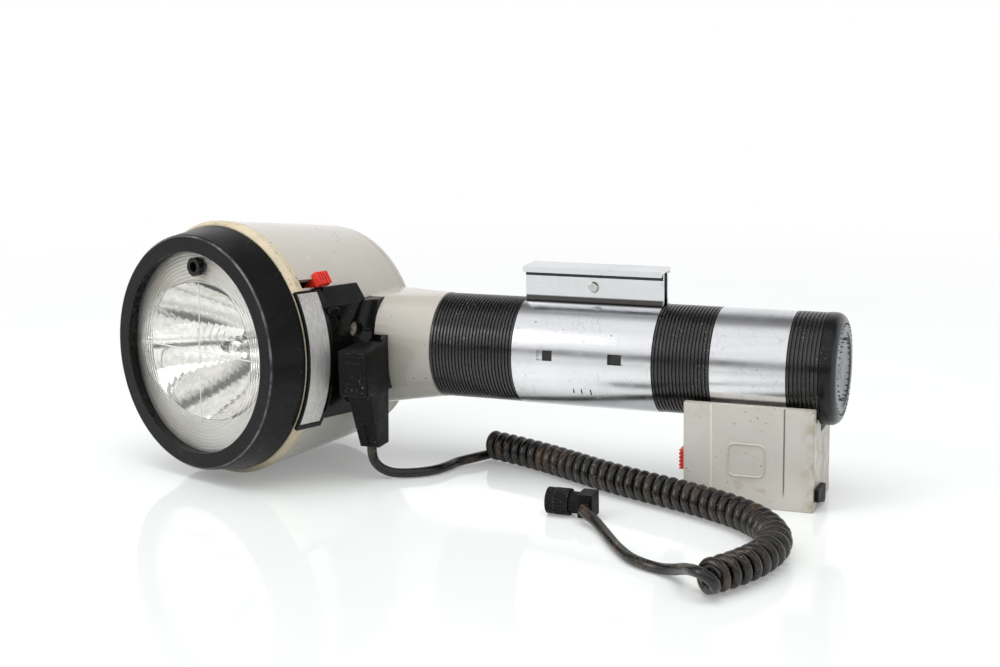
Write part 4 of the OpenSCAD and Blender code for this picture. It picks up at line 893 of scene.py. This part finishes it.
# Each lamp's name, place, aim, size and power
LAMPS = (
    ("lamp_over", (0.0, -0.15, 1.1), (0.0, 0.0, 0.05), (1.4, 0.9), 13.0),
    ("lamp_left", (-0.9, -0.9, 0.7), (-0.05, 0.0, 0.05), (0.7, 0.9), 7.0),
    ("lamp_right", (1.1, -0.5, 0.5), (0.0, 0.0, 0.05), (0.5, 0.8), 1.2),
)
# What metal sees round it: degrees from the front over the top, and how light it is there
SURROUNDINGS = (
    (-180, 1.0), (-60, 0.75), (-1, 0.80), (2, 0.70), (6, 0.13), (13, 0.13), (19, 1.0), (88, 1.0),
    (100, 0.32), (122, 0.13), (146, 0.90), (180, 1.0),
)
# The photograph's camera, found from the plug, the pack's corners and the handle's tube
CAMERA_PLACE_MM = (275.7, -627.4, 203.2)
CAMERA_YAW, CAMERA_PITCH, CAMERA_ROLL = (math.radians(v) for v in (-21.88, 12.0, -1.27))
CAMERA_LENS_MM = 57.6
TABLE_RADIUS_MM = 6000


class StageOperator(bpy.types.Operator):
    """Make the table, the white surroundings, the lamps and the camera"""
    bl_idname = "flash.add_stage"
    bl_label = "Table, lamps and camera"

    def execute(self, context):
        scene = context.scene
        rim = circle(TABLE_RADIUS_MM, [math.radians(a) for a in range(0, 360, 10)])
        points = [(0, 0, 0)] + [(*p, 0) for p in rim]
        faces = [(0, i, i % len(rim) + 1) for i in range(1, len(points))]
        floor = from_mesh("table_top", points, faces, OWN_FRAME, self.table_glass(), smooth=False)
        self.add_world(scene)
        self.add_lamps(scene)
        self.add_camera(scene)
        scene.view_settings.view_transform = "Standard"
        return {"FINISHED"}

    def table_glass(self):
        """Glossy pale table top that runs out into white further from the flash."""
        made = Surface("table_top")
        net = made.net
        smear = net.noise(made.where, 9.0, 4.0, 0.6)
        made.base = net.mix(net.span(smear, 0.3, 0.7), (0.78, 0.82, 0.81), (0.82, 0.85, 0.84))
        made.normal = net.bump(net.noise(made.where, 120.0, 2.0), 0.00001)
        made.set(Roughness=net.span(smear, 0.3, 0.7, 0.05, 0.09), Specular_IOR_Level=1.0)
        path = net.add("ShaderNodeLightPath").outputs
        seen = net.math("MAXIMUM", path["Is Camera Ray"], path["Is Glossy Ray"])
        seen = net.math("MAXIMUM", seen, path["Is Transmission Ray"])
        white = net.add("ShaderNodeEmission", {"Color": (1, 1, 1), "Strength": 1.0}).outputs[0]
        away = net.vector("LENGTH", made.where, output=1)
        share = net.times(seen, net.span(away, 0.22, 0.8, 0.22, 1.0, kind="SMOOTHSTEP"))
        output = next(n for n in net.tree.nodes if n.type == "OUTPUT_MATERIAL")
        both = net.add("ShaderNodeMixShader", {0: share, 1: made.shader.outputs[0], 2: white}).outputs[0]
        net.put(output.inputs["Surface"], both)
        return made.done()

    def add_world(self, scene):
        """White surroundings; metal sees two soft grey bands between the lamps."""
        world = bpy.data.worlds.new("studio")
        scene.world = world
        world.use_nodes = True
        net = Net(world.node_tree)
        sky = next(n for n in net.tree.nodes if n.type == "BACKGROUND")
        output = next(n for n in net.tree.nodes if n.type == "OUTPUT_WORLD")
        y, z = net.split(net.add("ShaderNodeTexCoord").outputs["Generated"])[1:]
        share = net.span(net.math("ARCTAN2", z, net.times(y, -1.0)), -math.pi, math.pi)
        ramp = net.add("ShaderNodeValToRGB", {"Fac": share})
        line = ramp.color_ramp
        while len(line.elements) < len(SURROUNDINGS):
            line.elements.new(0.5)
        for stop, (degrees, value) in zip(line.elements, SURROUNDINGS):
            stop.position = (degrees + 180) / 360
            stop.color = (value, value, value * 1.01, 1.0)
        path = net.add("ShaderNodeLightPath").outputs
        seen = net.math("MAXIMUM", path["Is Glossy Ray"], path["Is Transmission Ray"])
        net.put(sky.inputs["Color"], (0.97, 0.985, 1.0))
        net.put(sky.inputs["Strength"], 0.5)
        mirrored = net.add("ShaderNodeBackground", {"Color": ramp.outputs["Color"], "Strength": 1.0}).outputs[0]
        white = net.add("ShaderNodeBackground", {"Color": (1, 1, 1), "Strength": 1.0}).outputs[0]
        lit = net.add("ShaderNodeMixShader", {0: seen, 1: sky.outputs[0], 2: mirrored}).outputs[0]
        lit = net.add("ShaderNodeMixShader", {0: path["Is Camera Ray"], 1: lit, 2: white}).outputs[0]
        net.put(output.inputs["Surface"], lit)

    def add_lamps(self, scene):
        """Three soft boxes: over the table, at the left front and at the right."""
        for name, place, aim, size, power in LAMPS:
            data = bpy.data.lights.new(name, "AREA")
            data.shape = "RECTANGLE"
            data.size, data.size_y = size
            data.energy = power
            data.color = (1.0, 0.99, 0.97)
            lamp = add_object(name, data)
            lamp.location = place
            lamp.rotation_euler = (Vector(aim) - Vector(place)).to_track_quat("-Z", "Y").to_euler()
            # Metal mirrors the surroundings and only this one of the lamps
            lamp.visible_glossy = name == "lamp_left"

    def add_camera(self, scene):
        """The photograph's camera: where it stood, how it was turned and its lens."""
        level = math.cos(CAMERA_PITCH)
        forward = Vector((math.sin(CAMERA_YAW) * level, math.cos(CAMERA_YAW) * level, -math.sin(CAMERA_PITCH)))
        right = Vector((math.cos(CAMERA_YAW), -math.sin(CAMERA_YAW), 0))
        up = right.cross(forward)
        side = math.cos(CAMERA_ROLL) * right + math.sin(CAMERA_ROLL) * up
        top = -math.sin(CAMERA_ROLL) * right + math.cos(CAMERA_ROLL) * up
        data = bpy.data.cameras.new("camera")
        data.sensor_width = 36.0
        data.lens = CAMERA_LENS_MM
        data.clip_start, data.clip_end = 0.05, 30.0
        camera = add_object("camera", data)
        turn = Matrix((side, top, -forward)).transposed().to_4x4()
        camera.matrix_world = TABLE_FRAME @ Matrix.Translation(Vector(CAMERA_PLACE_MM) * MM) @ turn
        scene.camera = camera


class CordOperator(bpy.types.Operator):
    """Make the curly cord from the plug's tail to the tip"""
    bl_idname = "flash.add_cord"
    bl_label = "Curly cord"

    def execute(self, context):
        look = context.scene.flash_look
        line = cord_route()
        # Points that nearly meet are dropped
        line = [p for p, q in zip(line, line[1:]) if np.linalg.norm(q - p) > 0.02] + [line[-1]]
        sides = 12
        piece = add_piece("sync_cord", swept(line, CORD_MM / 2, sides), TABLE_FRAME, "cord", look)
        gone = np.concatenate([[0], np.cumsum([np.linalg.norm(q - p) for p, q in zip(line, line[1:])])]) * MM
        self.lay_along(piece.data, gone, sides)
        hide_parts("cord_lead", "cord_curls", "cord_tail")
        return {"FINISHED"}

    def lay_along(self, mesh, gone, sides):
        """UV map of the cord: metres along it, and the share of a turn round it."""
        layer = mesh.uv_layers.new(name="along")
        for polygon in mesh.polygons:
            corners = [(i, *divmod(mesh.loops[i].vertex_index, sides)) for i in polygon.loop_indices]
            columns = [column for _, _, column in corners]
            seam = max(columns) - min(columns) > 2
            for i, row, column in corners:
                layer.data[i].uv = (gone[row], (column + (sides if seam and column == 0 else 0)) / sides)


class SurfaceOperator(bpy.types.Operator):
    """Give every carried-over node its finish, and make the bowl's oval form"""
    bl_idname = "flash.paint_nodes"
    bl_label = "Surfaces"

    def execute(self, context):
        look = context.scene.flash_look
        special = {"end_cap": "cap", "pack_foot": "plug_rubber", "tip_body": "plug_rubber",
                   "tip_ring": "plug_rubber", "trigger_bands": "steel"}
        slots = {part["node"]: part["material_slot"] for part in frame["record"]["subparts"]}
        for name, node in frame["nodes"].items():
            node.data.materials.clear()
            node.data.materials.append(finish(special.get(name, slots[name]), look))
        self.widen_bowl(frame["nodes"]["reflector"])
        return {"FINISHED"}

    def widen_bowl(self, bowl):
        """A copy of the round bowl stretched to the oval seen through the lens, but for its flange."""
        oval = add_object("bowl_oval", bowl.data.copy())
        back = HEAD_FRAME.inverted()
        for vertex in oval.data.vertices:
            p = back @ vertex.co
            if math.hypot(p.x, p.y) < BOWL_EDGE:
                vertex.co = HEAD_FRAME @ Vector((p.x * BOWL_OVAL[0], p.y * BOWL_OVAL[1], p.z))
        oval.data.update()
        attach(oval, "flash")
        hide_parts("reflector")


class LensOperator(bpy.types.Operator):
    """Make the clear lens with its rings and its cross"""
    bl_idname = "flash.add_lens"
    bl_label = "Lens"

    def execute(self, context):
        look = context.scene.flash_look
        back, front, edge = 55.0, 57.5, 46.8
        face = front - look.ridge_height / MM
        width = (LENS_OUTER_MM - LENS_INNER_MM) / look.lens_ridges
        profile = [(0.0, back), (edge, back), (edge, front - 0.1), (edge - 0.1, front),
                   (LENS_OUTER_MM + 0.1, front)]
        # A ring's section: shares of its width from the middle outwards, and of its height
        for i in reversed(range(look.lens_ridges)):
            for share, rise in ((0.9, 0.1), (0.7, 0.65), (0.45, 1.0), (0.2, 0.75), (0.03, 0.08)):
                profile.append((LENS_INNER_MM + (i + share) * width, face + (front - face) * rise))
        profile += [(radius, face) for radius in (LENS_INNER_MM - 0.3, 15.0, 0.0)]
        lens = add_piece("front_lens_moulded", lathe(profile, 160), HEAD_FRAME, "lens", look)
        lens.data.set_sharp_from_angle(angle=math.radians(50))
        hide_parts("front_lens")
        for name, x, y in (("lens_line_up", 0.0, 31.0), ("lens_line_across", 40.0, 0.0)):
            path = [(x * s, y * s, face + 0.05) for s in np.linspace(-1, 1, 25)]
            add_piece(name, swept(path, 0.32, 8, flat=0.5), HEAD_FRAME, "line", look)
        return {"FINISHED"}


class TubeOperator(bpy.types.Operator):
    """Make the metal ends inside the flash tube"""
    bl_idname = "flash.add_electrodes"
    bl_label = "Flash tube electrodes"

    def execute(self, context):
        look = context.scene.flash_look
        profile = [(0.0, 16.0), (0.5, 16.0), (0.5, 24.5), (1.5, 24.8), (1.7, 25.2), (1.7, 28.6), (1.2, 29.4),
                   (0.0, 29.6)]
        points, faces = lathe(profile, 32)
        for name, x in (("electrode_left", -5.0), ("electrode_right", 5.0)):
            beside = [(p[0] + x, p[1], p[2]) for p in points]
            add_piece(name, (beside, faces), HEAD_FRAME, "steel", look)
        return {"FINISHED"}


class DialOperator(bpy.types.Operator):
    """Make the marks and plain numbers of the calculator dial"""
    bl_idname = "flash.add_dial_marks"
    bl_label = "Dial marks"

    def execute(self, context):
        look = context.scene.flash_look
        face, marks_radius, numbers_radius = -33.8, 23.2, 18.6
        bar = from_mesh("mark", *box((-0.14, 0.14), (-1.1, 1.1), (-0.06, 0.06)), OWN_FRAME,
                        finish("marks", look), smooth=False)
        ring = [(*p, face - 0.05) for p in circle(marks_radius, [2 * math.pi * i / 240 for i in range(240)])]
        repeat_along("dial_marks", ring, bar, HEAD_FRAME, finish("marks", look), "dial", look.scale_marks,
                     closed=True, upright=tuple(HEAD_FRAME.to_quaternion() @ Vector((0, 0, 1))))
        for i, value in enumerate(("2", "2.8", "4", "5.6", "8", "11", "16", "22")):
            curve = bpy.data.curves.new("number", "FONT")
            curve.body = value
            curve.size = 3.6
            curve.extrude = 0.05
            curve.align_x = curve.align_y = "CENTER"
            text = bpy.data.objects.new("number", curve)
            mesh = bpy.data.meshes.new_from_object(text)
            bpy.data.objects.remove(text)
            angle = math.radians(90 - 45 * i)
            middle = (numbers_radius * math.cos(angle), numbers_radius * math.sin(angle), face - 0.03)
            # Turned to face back, and upright when read at the top of the dial
            mesh.transform(
                HEAD_FRAME @ Matrix.Translation(Vector(middle) * MM) @ Matrix.Rotation(angle - math.pi / 2, 4, "Z")
                @ Matrix.Rotation(math.pi, 4, "Y") @ Matrix.Scale(MM, 4))
            mesh.materials.clear()
            mesh.materials.append(finish("marks", look))
            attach(add_object(f"dial_number_{i + 1}", mesh), "dial")
        return {"FINISHED"}


class TrimOperator(bpy.types.Operator):
    """Make the raised frames, lines and ribs on the plug, the pack and the transformer"""
    bl_idname = "flash.add_trims"
    bl_label = "Frames and ribs"

    def execute(self, context):
        look = context.scene.flash_look
        self.frame_on_pack(look)
        self.frame_on_plug(look)
        self.ribs_on_plug(look)
        self.turns_on_transformer(look)
        return {"FINISHED"}

    def frame_on_pack(self, look):
        """Raised rounded frame on the pack's face, bare inside."""
        middle, front, height = 137.55, -24.0, 19.4
        path = [(middle + x, front, height + z) for x, z in rounded_loop(14.6, 13.2, 2.4, 6)]
        shape = swept(path, 0.42, 10, closed=True, up=(0, 1, 0))
        piece = add_piece("pack_frame", shape, TABLE_FRAME, "pack_plastic", look, "battery")

    def frame_on_plug(self, look):
        """Raised square frame and top lip on the plug's front face, bare inside."""
        middle, front = -22.8, -50.1
        for name, size, z in (("plug_frame", (8.0, 9.0, 1.0), -3.6), ("plug_lip", (10.6, 1.0, 0.4), 4.1)):
            path = [(middle + x, front, z + y) for x, y in rounded_loop(*size, 4)]
            shape = swept(path, 0.2, 8, closed=True, up=(0, 1, 0))
            piece = add_piece(name, shape, HANDLE_FRAME, "plug_rubber", look)

    def ribs_on_plug(self, look):
        """Short ribs across the front of the plug's tail."""
        points, faces = swept([(x, 0, 0) for x in (-2.3, -1.2, 0, 1.2, 2.3)], 0.28, 8, up=(0, 1, 0))
        material = finish("plug_rubber", look)
        rib = from_mesh("rib", [(p[2], p[1], p[0]) for p in points], faces, OWN_FRAME, material)
        rib.data.transform(Matrix.Rotation(math.pi / 2, 4, "X"))
        low, high = np.array((-21.45, -39.55, 17.4)), np.array((-21.9, -41.3, 24.6))
        path = [tuple(low + (high - low) * s / 10) for s in range(11)]
        piece = repeat_along("plug_ribs", path, rib, TABLE_FRAME, material, "flash", 5, 1.12)

    def turns_on_transformer(self, look):
        """Wire turns round the transformer's core."""
        loop = [(0.0, x, y) for x, y in rounded_loop(15.0, 12.0, 1.2, 3)]
        material = finish("copper", look)
        turn = from_mesh("turn", *swept(loop, 0.3, 6, closed=True, up=(1, 0, 0)), OWN_FRAME, material)
        core = (-17.0, 21.5)
        path = [(*core, -0.9 + 0.9 * s) for s in range(11)]
        piece = repeat_along("transformer_turns", path, turn, HEAD_FRAME, material, "flash", 14)


class BandOperator(bpy.types.Operator):
    """Make the stamped slots in the clamp band, dark with painted shade, the sheets of painted shade in its
    windows and under the rail's lip, and the ring marks on the end cap
    """
    bl_idname = "flash.add_band_marks"
    bl_label = "Band and cap marks"

    def execute(self, context):
        look = context.scene.flash_look
        self.slots_in_band(look)
        self.painted_shade_sheets(look)
        self.marks_on_cap(look)
        return {"FINISHED"}

    def slots_in_band(self, look):
        """Three short dark slots across the band, low on its front, whose darkness is painted shade."""
        band_radius, middle = 22.8, -32.0
        for i, (x, half) in enumerate(((63.9, 2.4), (67.3, 3.0), (71.3, 3.4))):
            turns = [math.radians(middle + a) for a in np.linspace(-half, half, 7)]
            path = [(x, -band_radius * math.cos(t), band_radius * math.sin(t)) for t in turns]
            # Dark pieces that paint the shade inside the stamped slots
            shape = swept(path, 0.55, 8, flat=0.3, up=(1, 0, 0))
            add_piece(f"band_slot_{i + 1}", shape, HANDLE_FRAME, "trim", look)

    def painted_shade_sheets(self, look):
        """Dark sheets of painted shade inside the band's two windows and under the rail's front lip."""
        windows, low, high = ((50.9, 55.45), (79.55, 84.9)), 0.85, 5.05
        radii = (21.55, 21.85)
        steps = 5
        skin = 2 * (steps + 1)
        for i, sides in enumerate(windows):
            points = [(x, -math.sqrt(radius ** 2 - z ** 2), z) for radius in radii
                      for z in np.linspace(low, high, steps + 1) for x in sides]
            faces = [(0, skin, skin + 1, 1), (skin - 2, skin - 1, 2 * skin - 1, 2 * skin - 2)]
            for k in range(steps):
                a, b = 2 * k, skin + 2 * k
                faces += [(a, a + 1, a + 3, a + 2), (b, b + 2, b + 3, b + 1), (a, a + 2, b + 2, b),
                          (a + 1, b + 1, b + 3, a + 3)]
            # Painted shade seen through each window
            add_piece(f"window_floor_{i + 1}", (points, faces), HANDLE_FRAME, "trim", look, smooth=False)
        # Painted shade under the rail's front lip
        lip = box((37.7, 97.7), (-3.75, -3.52), (33.0, 34.9))
        add_piece("lip_shadow", lip, HANDLE_FRAME, "trim", look, smooth=False)

    def marks_on_cap(self, look):
        """Two rings of short marks moulded in the end cap's face."""
        cap_face = 171.05
        material = finish("cap", look)
        points, faces = swept([(0, y, 0) for y in (-0.8, 0, 0.8)], 0.3, 6, up=(1, 0, 0))
        points = [(y, x, z) for x, y, z in points]
        for name, radius, count in (("cap_marks_outer", 18.2, 40), ("cap_marks_inner", 12.4, 28)):
            mark = from_mesh("mark", points, faces, OWN_FRAME, material)
            mark.data.transform(Matrix.Rotation(math.pi / 2, 4, "Z"))
            ring = circle(radius, np.linspace(0.3, 0.3 + 2 * math.pi * 0.97, 120))
            path = [(cap_face, y, z) for y, z in ring]
            repeat_along(name, path, mark, HANDLE_FRAME, material, "flash", count)


class FlashPanel(bpy.types.Panel):
    """Lists what the flash is finished with"""
    bl_idname = "VIEW3D_PT_flash"
    bl_label = "Camera flash"
    bl_space_type = "VIEW_3D"
    bl_region_type = "UI"
    bl_category = "Flash"

    def draw(self, context):
        look = context.scene.flash_look
        for key in look.bl_rna.properties.keys():
            if key not in ("rna_type", "name"):
                self.layout.prop(look, key)
        for kind in OPERATORS:
            self.layout.operator(kind.bl_idname)


OPERATORS = (StageOperator, CordOperator, SurfaceOperator, LensOperator, TubeOperator, DialOperator,
             TrimOperator, BandOperator)


def register():
    bpy.utils.register_class(FlashLook)
    for kind in (*OPERATORS, FlashPanel):
        bpy.utils.register_class(kind)
    bpy.types.Scene.flash_look = bpy.props.PointerProperty(type=FlashLook)


def unregister():
    del bpy.types.Scene.flash_look
    for kind in (FlashPanel, *reversed(OPERATORS)):
        bpy.utils.unregister_class(kind)
    bpy.utils.unregister_class(FlashLook)


def main():
    register()
    for kind in OPERATORS:
        group, name = kind.bl_idname.split(".")
        if getattr(getattr(bpy.ops, group), name)() != {"FINISHED"}:
            raise RuntimeError(f"{kind.bl_idname} did not finish")
    bpy.context.view_layer.update()


if __name__ == "__main__":
    main()
